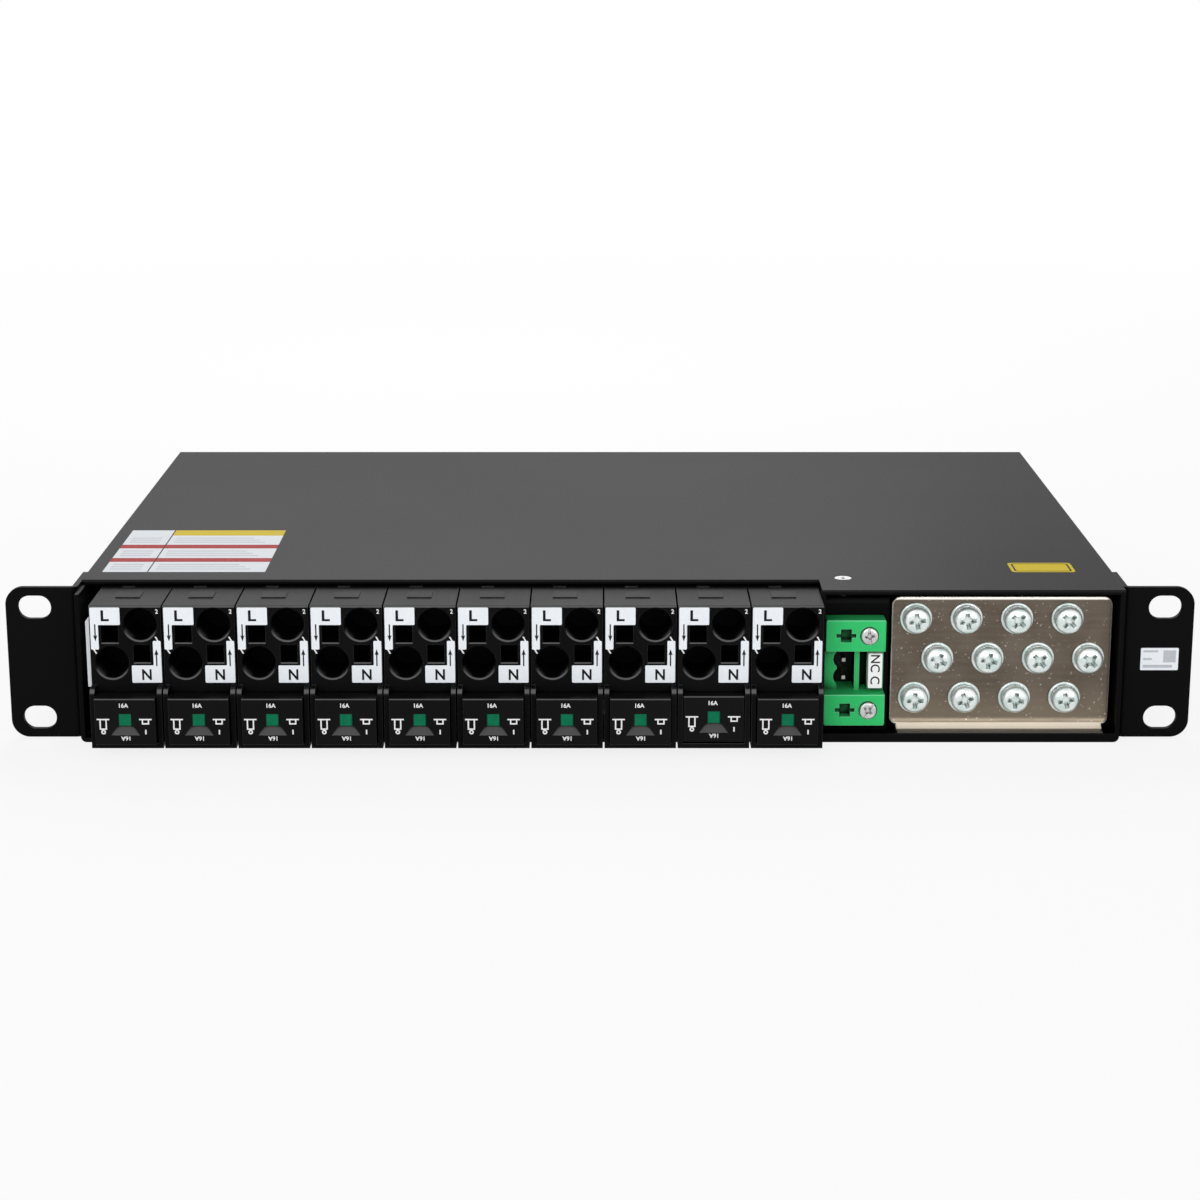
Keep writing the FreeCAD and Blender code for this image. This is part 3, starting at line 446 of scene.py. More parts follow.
@dataclass(frozen=True)
class GradedTin(Plated):
    """Tinned sheet with rolling lines: darker towards the top as a painted reflection, a painted highlight
    on its bend and painted shade on its lip.
    """

    # Pale colour of the bend, which is made non-metallic: a painted highlight
    bend_highlight_color: Color = (0.87, 0.76, 0.62)
    # Lighter colour low on the face; with the darker colour higher up, a painted reflection
    low_reflection_color: Color = (0.18, 0.148, 0.108)
    # Dark lip: painted shade
    lip_shade_color: Color = (0.04, 0.033, 0.026)
    lip_level: float = 2.7 * MM
    lip_fade: float = 0.3 * MM
    foot_level: float = 4.4 * MM
    foot_fade: float = 0.35 * MM
    high_level: float = 17.0 * MM
    # Height of the plate's top edge, below which a band carries a painted highlight
    top_level: float = 40.4 * MM
    top_fade: float = 0.5 * MM
    roll_size: float = 1.2 * MM
    roll_stretch: Triple = (40.0, 40.0, 1.0)
    roll_span: Span = (0.35, 0.65)
    roll_share: float = 0.4
    speck_size: float = 0.7 * MM
    speck_layers: float = 1.0
    speck_span: Span = (0.70, 0.76)
    speck_share: float = 0.3
    # How metallic the edges stay, so that their pale colour shows as a painted highlight
    edge_metal: float = 0.3

    def above_foot(self, tree: Tree) -> Wire:
        """Tell the plate's face from its bend and its lip."""
        return tree.ease(tree.along("Z"), (self.foot_level - self.foot_fade, self.foot_level))

    def above_lip(self, tree: Tree) -> Wire:
        """Tell the lip from the rest of the plate."""
        return tree.ease(tree.along("Z"), (self.lip_level, self.lip_level + self.lip_fade))

    def metallic(self, tree: Tree, edge: Wire) -> Wire:
        """Give how metallic the sheet is: least on its bend and its edges, so that their pale colour shows
        as a painted highlight.
        """
        return self.above_foot(tree) * (1.0 - edge * (1.0 - self.edge_metal))

    def worn_and_lit_edges(self, tree: Tree, edge: Wire) -> Wire:
        """Give how far the edges above the lip, and most of all the top one, carry a painted highlight.

        Args:
            tree: The material's node tree.
            edge: How close a point is to an edge.

        Returns:
            1 where the metal is bright.
        """
        full = self.top_level - self.top_fade
        # A band along the top edge: painted highlight
        top = tree.ease(tree.along("Z"), (full - self.top_fade, full))
        return (edge * self.above_lip(tree)).most(top) * self.edge_wear_and_highlight_share

    def ground(self, tree: Tree, cloud: Wire) -> Wire:
        """Give the tin's colour from its foot up, with bright specks: the painted highlight on the bend, the
        painted reflection that darkens towards the top, and the painted shade on the lip.

        Args:
            tree: The material's node tree.
            cloud: The cloudy value.

        Returns:
            The colour.
        """
        rolled = tree.ease(tree.noise(self.roll_size, stretch=self.roll_stretch), self.roll_span)
        speck = tree.ease(tree.noise(self.speck_size, self.speck_layers), self.speck_span)
        high = tree.blend(cloud * (1.0 - self.roll_share) + rolled * self.roll_share, self.color, self.tint)
        height = tree.ease(tree.along("Z"), (self.foot_level, self.high_level))
        upper = tree.blend(height, self.low_reflection_color, high)
        bend = tree.blend(self.above_foot(tree), self.bend_highlight_color, upper)
        whole = tree.blend(self.above_lip(tree), self.lip_shade_color, bend)
        # The bright specks take the edge colour
        return tree.blend(speck * self.speck_share, whole, self.edge_wear_and_highlight_color)


@dataclass(frozen=True)
class Lens(Finish):
    """A smooth coloured plastic lens: deeper colour in clouds and along its edges."""

    deep_color: Color = (0.0, 0.1, 0.05)
    cloud_size: float = 1.6 * MM
    cloud_span: Span = (0.35, 0.65)
    cloud_share: float = 0.2
    cloud_gloss: float = 0.05
    shine: float = 0.1

    def paint(self, tree: Tree) -> dict[str, Any]:
        """Give the shader's sockets.

        Args:
            tree: The material's node tree.

        Returns:
            Values and wires by socket.
        """
        cloud = tree.ease(tree.noise(self.cloud_size), self.cloud_span)
        normal, edge = tree.soft_edges(self.edge_radius)
        return {
            "Base Color": tree.blend((cloud * self.cloud_share).most(edge), self.color, self.deep_color),
            "Roughness": self.roughness + cloud.swing(self.cloud_gloss),
            "Specular IOR Level": self.shine,
            "Normal": normal,
        }


@dataclass(frozen=True)
class Printed(Finish):
    """Label film or ink: a faint mottle in colour and gloss."""

    mottle_color: Color = grey(0.8)
    mottle_size: float = 0.6 * MM
    mottle_layers: float = 3.0
    mottle_span: Span = (0.35, 0.7)
    mottle_share: float = 0.5
    mottle_gloss: float = 0.1
    shine: float = 0.03

    def paint(self, tree: Tree) -> dict[str, Any]:
        """Give the shader's sockets.

        Args:
            tree: The material's node tree.

        Returns:
            Values and wires by socket.
        """
        mottle = tree.ease(tree.noise(self.mottle_size, self.mottle_layers), self.mottle_span)
        return {
            "Base Color": tree.blend(mottle * self.mottle_share, self.color, self.mottle_color),
            "Roughness": self.roughness + mottle.swing(self.mottle_gloss),
            "Specular IOR Level": self.shine,
        }


# In the finishes below, edge colours are partly wear and partly painted highlight, slope colours are painted
# highlight, and hollow colours are painted shade
CASE_PAINT = Grained("satin_black_paint", (0.0018, 0.0018, 0.0021), 0.38, 0.2 * MM,
                     cloud_color=(0.003, 0.003, 0.0034), cloud_size=60 * MM, cloud_gloss=0.015, shine=0.037,
                     grain_size=0.5 * MM, edge_wear_and_highlight_color=grey(0.02), slope_highlight_color=grey(0.02))
BREAKER_PLASTIC = Grained("black_breaker_plastic", (0.0030, 0.0030, 0.0035), 0.36,
                          cloud_color=(0.0045, 0.0045, 0.005), grain_size=0.25 * MM, hollow_reach=10 * MM,
                          edge_wear_and_highlight_color=grey(0.12), slope_highlight_color=grey(0.19), shine=0.034)
BUTTON_PLASTIC = Grained("black_button_plastic", (0.0035, 0.0035, 0.004), 0.42,
                         cloud_color=(0.005, 0.005, 0.0055), grain_size=0.22 * MM,
                         edge_wear_and_highlight_color=grey(0.08), slope_highlight_color=grey(0.165))
TERMINAL_PLASTIC = Grained("grey_terminal_plastic", (0.10, 0.10, 0.11), 0.5,
                           cloud_color=(0.12, 0.12, 0.13), edge_wear_and_highlight_color=grey(0.2))
SPACER_PLASTIC = Grained("white_spacer_plastic", (0.78, 0.81, 0.84), 0.45, shine=0.3,
                         cloud_color=(0.72, 0.75, 0.78), edge_wear_and_highlight_color=(0.85, 0.86, 0.88),
                         slope_highlight_color=(0.85, 0.86, 0.88),
                         hollow_reach=0.5 * MM, hollow_shade_color=(0.3, 0.32, 0.35))
HEADER_PLASTIC = Grained("green_header_plastic", (0.037, 0.58, 0.168), 0.38, 0.3 * MM, shine=0.10,
                         cloud_color=(0.033, 0.53, 0.148), cloud_size=9 * MM, grain_size=0.2 * MM,
                         edge_wear_and_highlight_color=(0.36, 0.88, 0.54), edge_wear_and_highlight_share=0.9, slope_highlight_color=(0.32, 0.88, 0.52),
                         hollow_reach=10 * MM, hollow_shade_color=(0.0005, 0.003, 0.001),
                         hollow_span=(0.55, 0.64), lit_top=0.85)
GROMMET_RUBBER = Grained("black_grommet_rubber", grey(0.012), 0.7, cloud_color=grey(0.02))
BLACK_STEEL = Grained("blackened_screw_steel", (0.012, 0.012, 0.013), 0.32, shine=0.3,
                      cloud_color=grey(0.018), cloud_size=3 * MM, edge_wear_and_highlight_color=grey(0.2),
                      hollow_reach=0.8 * MM)
ZINC = Plated("bright_zinc_plate", (0.80, 0.84, 0.83), 0.24, 0.15 * MM, tint=(0.60, 0.71, 0.67),
              tint_size=3 * MM, metal=0.6, hollow_shade_color=(0.18, 0.21, 0.21))
NICKEL = Plated("dull_nickel_plate", (0.66, 0.66, 0.65), 0.28, 0.15 * MM, tint=grey(0.48),
                metal=0.75, hollow_shade_color=grey(0.04))
PIN_TIN = Plated("tinned_pin_metal", (0.40, 0.39, 0.36), 0.28, 0.1 * MM, tint=(0.30, 0.29, 0.26),
                 edge_wear_and_highlight_color=(0.55, 0.54, 0.50))
# The plate's dark tones, darker towards the top, are a painted reflection
PLATE_TIN = GradedTin("tinned_earth_plate", (0.105, 0.084, 0.065), 0.34, 0.8 * MM,
                      tint=(0.135, 0.112, 0.088), tint_size=14 * MM, line_size=0.25 * MM,
                      line_stretch=(24.0, 1.0, 1.0), edge_wear_and_highlight_color=(0.92, 0.87, 0.78), edge_wear_and_highlight_share=1.0,
                      hollow_reach=0.9 * MM, hollow_shade_color=(0.04, 0.033, 0.026),
                      top_level=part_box("earth_plate")[1][2])
RAIL_STEEL = Plated("zinc_rail_steel", (0.62, 0.64, 0.64), 0.35, 0.2 * MM, tint=(0.55, 0.58, 0.56),
                    tint_size=10 * MM, line_stretch=(30.0, 1.0, 1.0))
BAR_COPPER = Plated("bare_bar_copper", (0.66, 0.36, 0.22), 0.32, 0.2 * MM, tint=(0.52, 0.26, 0.15),
                    tint_size=12 * MM, line_stretch=(30.0, 1.0, 1.0), edge_wear_and_highlight_color=(0.8, 0.5, 0.34),
                    hollow_shade_color=(0.1, 0.04, 0.02))
WINDOW_LENS = Lens("green_window_lens", (0.0, 0.160, 0.070), 0.25, 0.4 * MM, deep_color=(0.0, 0.030, 0.014))
LABEL_FILM = Printed("white_label_film", (0.80, 0.835, 0.87), 0.40, mottle_color=(0.74, 0.775, 0.815))
STRIP_FILM = Printed("white_strip_plastic", (0.93, 0.94, 0.94), 0.40, mottle_color=(0.88, 0.89, 0.90))
WHITE_INK = Printed("white_print", grey(0.82), 0.45, mottle_color=grey(0.70))
BLACK_INK = Printed("black_print", (0.010, 0.010, 0.012), 0.45, mottle_color=(0.020, 0.020, 0.022))
GREY_INK = Printed("grey_print", (0.46, 0.48, 0.52), 0.45, mottle_color=(0.56, 0.58, 0.62))
YELLOW_INK = Printed("yellow_print", (0.68, 0.515, 0.002), 0.40, mottle_color=(0.62, 0.465, 0.002))
RED_INK = Printed("red_print", (0.42, 0.022, 0.026), 0.42, mottle_color=(0.34, 0.02, 0.022))


@dataclass(frozen=True)
class Box:
    """A box in the row frame."""

    low: Vector
    high: Vector

    @classmethod
    def of(cls, node: str) -> "Box":
        """Give a node's box at rest."""
        return cls(*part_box(node))

    @property
    def mid(self) -> Vector:
        """The box's middle."""
        return (self.low + self.high) / 2


def solids_in(node: str) -> list[Box]:
    """Find the separate solids of a node.

    Args:
        node: The node's name.

    Returns:
        The box of each solid, from low X and Z up.
    """
    shape = bmesh.new()
    shape.from_mesh(frame["nodes"][node].data)
    bmesh.ops.remove_doubles(shape, verts=shape.verts, dist=WELD)
    waiting = set(shape.verts)
    boxes = []
    while waiting:
        reached = [waiting.pop()]
        corners = []
        while reached:
            vertex = reached.pop()
            corners.append(vertex.co.copy())
            near = {edge.other_vert(vertex) for edge in vertex.link_edges} & waiting
            waiting -= near
            reached.extend(near)
        low = Vector(min(corner[axis] for corner in corners) for axis in range(3))
        high = Vector(max(corner[axis] for corner in corners) for axis in range(3))
        boxes.append(Box(low, high))
    shape.free()
    return sorted(boxes, key=lambda box: (round(box.mid.z, PLACE_DIGITS), round(box.mid.x, PLACE_DIGITS)))


def nodes_named(start: str) -> list[str]:
    """List the numbered nodes whose names begin alike, such as breaker_01."""
    return sorted(name for name in frame["nodes"] if name.startswith(start) and name[-2:].isdigit())


def dress(nodes: Iterable[str], finish: Finish) -> None:
    """Give a finish to nodes of the frame.

    Args:
        nodes: Names of the nodes.
        finish: Their finish.
    """
    for name in nodes:
        piece = frame["nodes"][name]
        if not piece.material_slots:
            piece.data.materials.append(None)
        for slot in piece.material_slots:
            slot.material = finish.material()
        LOG.info("%s: %s", name, finish.name)


def facing(out: Vector, at: Vector, turn: float = 0.0) -> Matrix:
    """Stand a piece at a place.

    Args:
        out: The way its own +Z points.
        at: Its origin.
        turn: Its turn about its own +Z.

    Returns:
        The placing matrix.
    """
    stand = out.to_track_quat("Z", "Y").to_matrix().to_4x4()
    return Matrix.Translation(at) @ stand @ Matrix.Rotation(turn, 4, "Z")


def turn_of(index: int, turns: Span) -> float:
    """Give a screw's turn in a row: the first one's turn, and a step for each one after it."""
    return turns[0] + turns[1] * index


@dataclass(frozen=True)
class Patch:
    """A flat place on the object, with directions across it and up it."""

    origin: Vector
    across: Vector
    up: Vector

    @classmethod
    def front(cls, x: float, y: float, z: float) -> "Patch":
        """A patch that faces the front."""
        return cls(Vector((x, y, z)), Vector((1, 0, 0)), Vector((0, 0, 1)))

    @classmethod
    def top(cls, x: float, y: float, z: float) -> "Patch":
        """A patch that faces up."""
        return cls(Vector((x, y, z)), Vector((1, 0, 0)), Vector((0, 1, 0)))

    def at(self, across: float = 0.0, up: float = 0.0, lift: float = 0.0, turn: float = 0.0) -> Matrix:
        """Stand something on the patch.

        Args:
            across: Its place across the patch.
            up: Its place up the patch.
            lift: Its height above the patch.
            turn: Its turn on the patch, anticlockwise.

        Returns:
            The placing matrix.
        """
        out = self.across.cross(self.up)
        stand = Matrix((self.across, self.up, out)).transposed().to_4x4()
        spot = self.origin + self.across * across + self.up * up + out * lift
        return Matrix.Translation(spot) @ stand @ Matrix.Rotation(turn, 4, "Z")


def rounded(corners: Sequence[Point], radius: float, steps: int = 4) -> list[Point]:
    """Round the corners of an outline.

    Args:
        corners: The sharp outline, anticlockwise.
        radius: Radius of the corners.
        steps: Points along each corner, less one.

    Returns:
        The rounded outline.
    """
    points = []
    for index, corner in enumerate(corners):
        here = Vector(corner)
        before = Vector(corners[index - 1]) - here
        after = Vector(corners[(index + 1) % len(corners)]) - here
        reach = min(radius, before.length / 2, after.length / 2)
        start = here + before.normalized() * reach
        end = here + after.normalized() * reach
        for step in range(steps + 1):
            share = step / steps
            spot = start.lerp(here, share).lerp(here.lerp(end, share), share)
            points.append((spot.x, spot.y))
    return points


def rectangle(left: float, low: float, right: float, high: float) -> list[Point]:
    """Give the corners of a rectangle, anticlockwise."""
    return [(left, low), (right, low), (right, high), (left, high)]


def ring_of(radius: float, count: int = 20) -> list[Point]:
    """Give the points of a circle about the origin."""
    turns = (math.tau * index / count for index in range(count))
    return [(radius * math.cos(turn), radius * math.sin(turn)) for turn in turns]


class Solid:
    """A mesh in the making, gathered from plates, hoops, turned forms and lettering."""

    def __init__(self) -> None:
        """Start empty."""
        self.shape = bmesh.new()

    def ring(self, outline: Sequence[Point], place: Matrix, height: float) -> list[bmesh.types.BMVert]:
        """Add the points of an outline at a height above a place."""
        return [self.shape.verts.new(place @ Vector((x, y, height))) for x, y in outline]

    def block(self, low: Level, high: Level, place: Matrix) -> None:
        """Add a closed form between two outlines of as many points.

        Args:
            low: The lower outline, anticlockwise, and its height.
            high: The upper outline and its height.
            place: Where the form stands.
        """
        floor, roof = (self.ring(outline, place, height) for outline, height in (low, high))
        self.wrap(floor, roof)
        self.shape.faces.new(reversed(floor))
        self.shape.faces.new(roof)

    def hoop(self, section: Iterable[Level], place: Matrix) -> None:
        """Add a closed hoop, such as a flat frame or a washer.

        Args:
            section: Outlines of as many points with their heights, once round the hoop's section.
            place: Where the hoop stands.
        """
        rings = [self.ring(outline, place, height) for outline, height in section]
        for index, ring in enumerate(rings):
            self.wrap(ring, rings[(index + 1) % len(rings)])

    def plate(self, outline: Sequence[Point], place: Matrix, thickness: float) -> None:
        """Add a flat plate that stands on a place.

        Args:
            outline: Its outline.
            place: Where it stands.
            thickness: Its thickness.
        """
        self.block((outline, 0.0), (outline, thickness), place)

    def frame_plate(self, outline: Sequence[Point], hole: Sequence[Point], place: Matrix,
                    thickness: float) -> None:
        """Add a flat ring-shaped plate.

        Args:
            outline: Its outer outline.
            hole: Its inner outline, with as many points.
            place: Where it stands.
            thickness: Its thickness.
        """
        self.hoop(((outline, 0.0), (outline, thickness), (hole, thickness), (hole, 0.0)), place)

    def wrap(self, low: Sequence[bmesh.types.BMVert], high: Sequence[bmesh.types.BMVert]) -> None:
        """Join two rings of as many points with a wall.

        Args:
            low: The lower ring, anticlockwise.
            high: The upper ring.
        """
        for index, corner in enumerate(low):
            following = (index + 1) % len(low)
            self.shape.faces.new((corner, low[following], high[following], high[index]))

    def turned(self, profile: Sequence[Point], place: Matrix, count: int = 40) -> None:
        """Add a turned form.

        Args:
            profile: Radius and height along its section, from the axis back to the axis.
            place: Where its axis stands.
            count: Points round it.
        """
        rings = [self.ring(ring_of(radius, count), place, height) for radius, height in profile[1:-1]]
        for low, high in zip(rings, rings[1:]):
            self.wrap(low, high)
        for ring, height in ((rings[0][::-1], profile[0][1]), (rings[-1], profile[-1][1])):
            tip = self.shape.verts.new(place @ Vector((0.0, 0.0, height)))
            for index, corner in enumerate(ring):
                self.shape.faces.new((corner, ring[(index + 1) % count], tip))

    def copy_of(self, mesh: bpy.types.Mesh, place: Matrix) -> None:
        """Add a copy of a finished mesh.

        Args:
            mesh: The mesh.
            place: Where it stands.
        """
        known = len(self.shape.verts)
        self.shape.from_mesh(mesh)
        self.shape.verts.ensure_lookup_table()
        bmesh.ops.transform(self.shape, matrix=place, verts=self.shape.verts[known:])

    def letters(self, text: str, place: Matrix, size: Point, thickness: float, weight: float = 0.0) -> None:
        """Add raised lettering centred on a place.

        Args:
            text: The letters.
            place: Where their middle stands.
            size: Their width and height in all.
            thickness: Their thickness.
            weight: How much bolder than the plain font, as a share of the letters' height.
        """
        curve = bpy.data.curves.new(text, "FONT")
        curve.body = text
        curve.resolution_u = FONT_STEPS
        curve.offset = weight
        holder = bpy.data.objects.new(text, curve)
        bpy.context.scene.collection.objects.link(holder)
        bpy.context.view_layer.update()
        ready = holder.evaluated_get(bpy.context.evaluated_depsgraph_get())
        flat = bpy.data.meshes.new_from_object(ready)
        letters = bmesh.new()
        letters.from_mesh(flat)
        bmesh.ops.remove_doubles(letters, verts=letters.verts, dist=FONT_WELD)
        low = [min(vertex.co[axis] for vertex in letters.verts) for axis in range(2)]
        high = [max(vertex.co[axis] for vertex in letters.verts) for axis in range(2)]
        for vertex in letters.verts:
            x, y = ((vertex.co[axis] - (low[axis] + high[axis]) / 2) / (high[axis] - low[axis]) * size[axis]
                    for axis in range(2))
            vertex.co = (x, y, 0.0)
        risen = bmesh.ops.extrude_face_region(letters, geom=letters.faces[:], use_keep_orig=True)
        tops = [part for part in risen["geom"] if isinstance(part, bmesh.types.BMVert)]
        bmesh.ops.translate(letters, vec=(0.0, 0.0, thickness), verts=tops)
        bmesh.ops.recalc_face_normals(letters, faces=letters.faces)
        letters.to_mesh(flat)
        letters.free()
        self.copy_of(flat, place)
        bpy.data.objects.remove(holder)
        bpy.data.curves.remove(curve)
        bpy.data.meshes.remove(flat)

    def mesh(self, name: str, crease: float = math.radians(32)) -> bpy.types.Mesh:
        """Close the mesh, smooth but for its creases.

        Args:
            name: Its name.
            crease: The angle from which an edge stays sharp.

        Returns:
            The mesh.
        """
        self.shape.normal_update()
        for face in self.shape.faces:
            face.smooth = True
        for edge in self.shape.edges:
            edge.smooth = edge.is_manifold and edge.calc_face_angle() < crease
        made = bpy.data.meshes.new(name)
        self.shape.to_mesh(made)
        self.shape.free()
        return made

    def piece(self, name: str, finish: Finish, slot: str | None = None, body: str = CASE_BODY,
              replaces: str | None = None) -> None:
        """Turn the mesh into a piece of the object.

        Args:
            name: The piece's name.
            finish: Its finish.
            slot: Not used.
            body: The body that it moves with.
            replaces: The node that it stands for.
        """
        mesh = self.mesh(name)
        mesh.materials.append(finish.material())
        made = bpy.data.objects.new(name, mesh)
        bpy.context.scene.collection.objects.link(made)
        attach(made, body)
        if replaces:
            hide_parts(replaces)
        LOG.info("%s: %d faces, %s, on %s", name, len(mesh.polygons), finish.name, body)


def flat_piece(name: str, finish: Finish, outlines: Iterable[Sequence[Point]], place: Matrix,
               thickness: float, slot: str | None = None) -> None:
    """Make one piece of the case from flat plates that stand on one place.

    Args:
        name: The piece's name.
        finish: Its finish.
        outlines: The outline of each plate.
        place: Where they stand.
        thickness: Their thickness.
        slot: Handed on to the piece, which does not use it.
    """
    sheet = Solid()
    for outline in outlines:
        sheet.plate(outline, place, thickness)
    sheet.piece(name, finish, slot)


def cut(mesh: bpy.types.Mesh, tool: bpy.types.Mesh) -> bpy.types.Mesh:
    """Cut one closed mesh out of another.

    Args:
        mesh: The mesh to cut, which is used up.
        tool: The mesh to take away, which is used up.

    Returns:
        The cut mesh.
    """
    blank = bpy.data.objects.new("blank", mesh)
    cutter = bpy.data.objects.new("cutter", tool)
    for holder in (blank, cutter):
        bpy.context.scene.collection.objects.link(holder)
    change = blank.modifiers.new("recess", "BOOLEAN")
    change.operation = "DIFFERENCE"
    change.solver = "EXACT"
    change.object = cutter
    bpy.context.view_layer.update()
    ready = blank.evaluated_get(bpy.context.evaluated_depsgraph_get())
    made = bpy.data.meshes.new_from_object(ready)
    for holder in (blank, cutter):
        data = holder.data
        bpy.data.objects.remove(holder)
        bpy.data.meshes.remove(data)
    return made


class HeadForm(Enum):
    """Form of a screw's head: the power of its dome's curve, and 0 for a flat one."""

    PAN = 3.6
    CHEESE = 7.0
    SUNK = 0.0


@dataclass(frozen=True)
class CrossScrew:
    """A screw with a cross recess, seated at height 0 with its head above."""

    form: HeadForm
    head_radius: float
    head_height: float
    thread_radius: float
    thread_length: float
    wing_length: float
    wing_width: float
    recess_depth: float
    slotted: bool = False
    tip_share: float = 0.25
    seat_share: float = 0.97
    recess_taper: float = 0.55
    recess_over: float = 0.3
    throat: float = 2.0
    slot_share: float = 0.85
    slot_reach: float = 1.2
    slot_depth: float = 0.55
    dome_steps: int = 12

    def profile(self) -> list[Point]:
        """Give the screw's section.

        Returns:
            Radius and height from the thread's tip to the top of the head.
        """
        chamfer = self.thread_radius * self.tip_share
        section = [
            (0.0, -self.thread_length),
            (self.thread_radius - chamfer, -self.thread_length),
            (self.thread_radius, chamfer - self.thread_length),
        ]
        if self.form is HeadForm.SUNK:
            sink = self.head_radius - self.thread_radius
            return section + [
                (self.thread_radius, self.head_height - sink),
                (self.head_radius, self.head_height),
                (0.0, self.head_height),
            ]
        section += [(self.thread_radius, 0.0), (self.head_radius * self.seat_share, 0.0)]
        power = 2.0 / self.form.value
        for step in range(1, self.dome_steps + 1):
            turn = math.pi / 2 * (1.0 - step / (self.dome_steps + 1))
            section.append((self.head_radius * math.sin(turn) ** power,
                            self.head_height * math.cos(turn) ** power))
        return section + [(0.0, self.head_height)]

    def recess(self) -> bpy.types.Mesh:
        """Make the tapered cross that is cut into the head.

        Returns:
            Its mesh.
        """
        half, reach = self.wing_width / 2, self.wing_length / 2
        throat = half * self.throat
        quarter = [(reach, -half), (reach, half), (throat, half), (half, throat)]
        outline = []
        for turn in range(4):
            spin = Matrix.Rotation(math.pi / 2 * turn, 2)
            outline += [tuple(spin @ Vector(corner)) for corner in quarter]
        taper, flare = self.recess_taper, 1.0 + (1.0 - self.recess_taper) * self.recess_over
        low = [(x * taper, y * taper) for x, y in outline]
        high = [(x * flare, y * flare) for x, y in outline]
        tool = Solid()
        tool.block((low, self.head_height - self.recess_depth),
                   (high, self.head_height + self.recess_depth * self.recess_over), Matrix.Identity(4))
        return tool.mesh("recess")

    def mesh(self) -> bpy.types.Mesh:
        """Make the screw.

        Returns:
            Its mesh, about its own axis.
        """
        blank = Solid()
        blank.turned(self.profile(), Matrix.Identity(4))
        made = cut(blank.mesh("screw"), self.recess())
        if self.slotted:
            bar = Solid()
            reach = self.head_radius * self.slot_reach
            half = self.wing_width / 2 * self.slot_share
            floor = Matrix.Translation((0.0, 0.0, self.head_height - self.recess_depth * self.slot_depth))
            bar.plate(rectangle(-reach, -half, reach, half), floor, self.recess_depth)
            made = cut(made, bar.mesh("slot"))
        return made


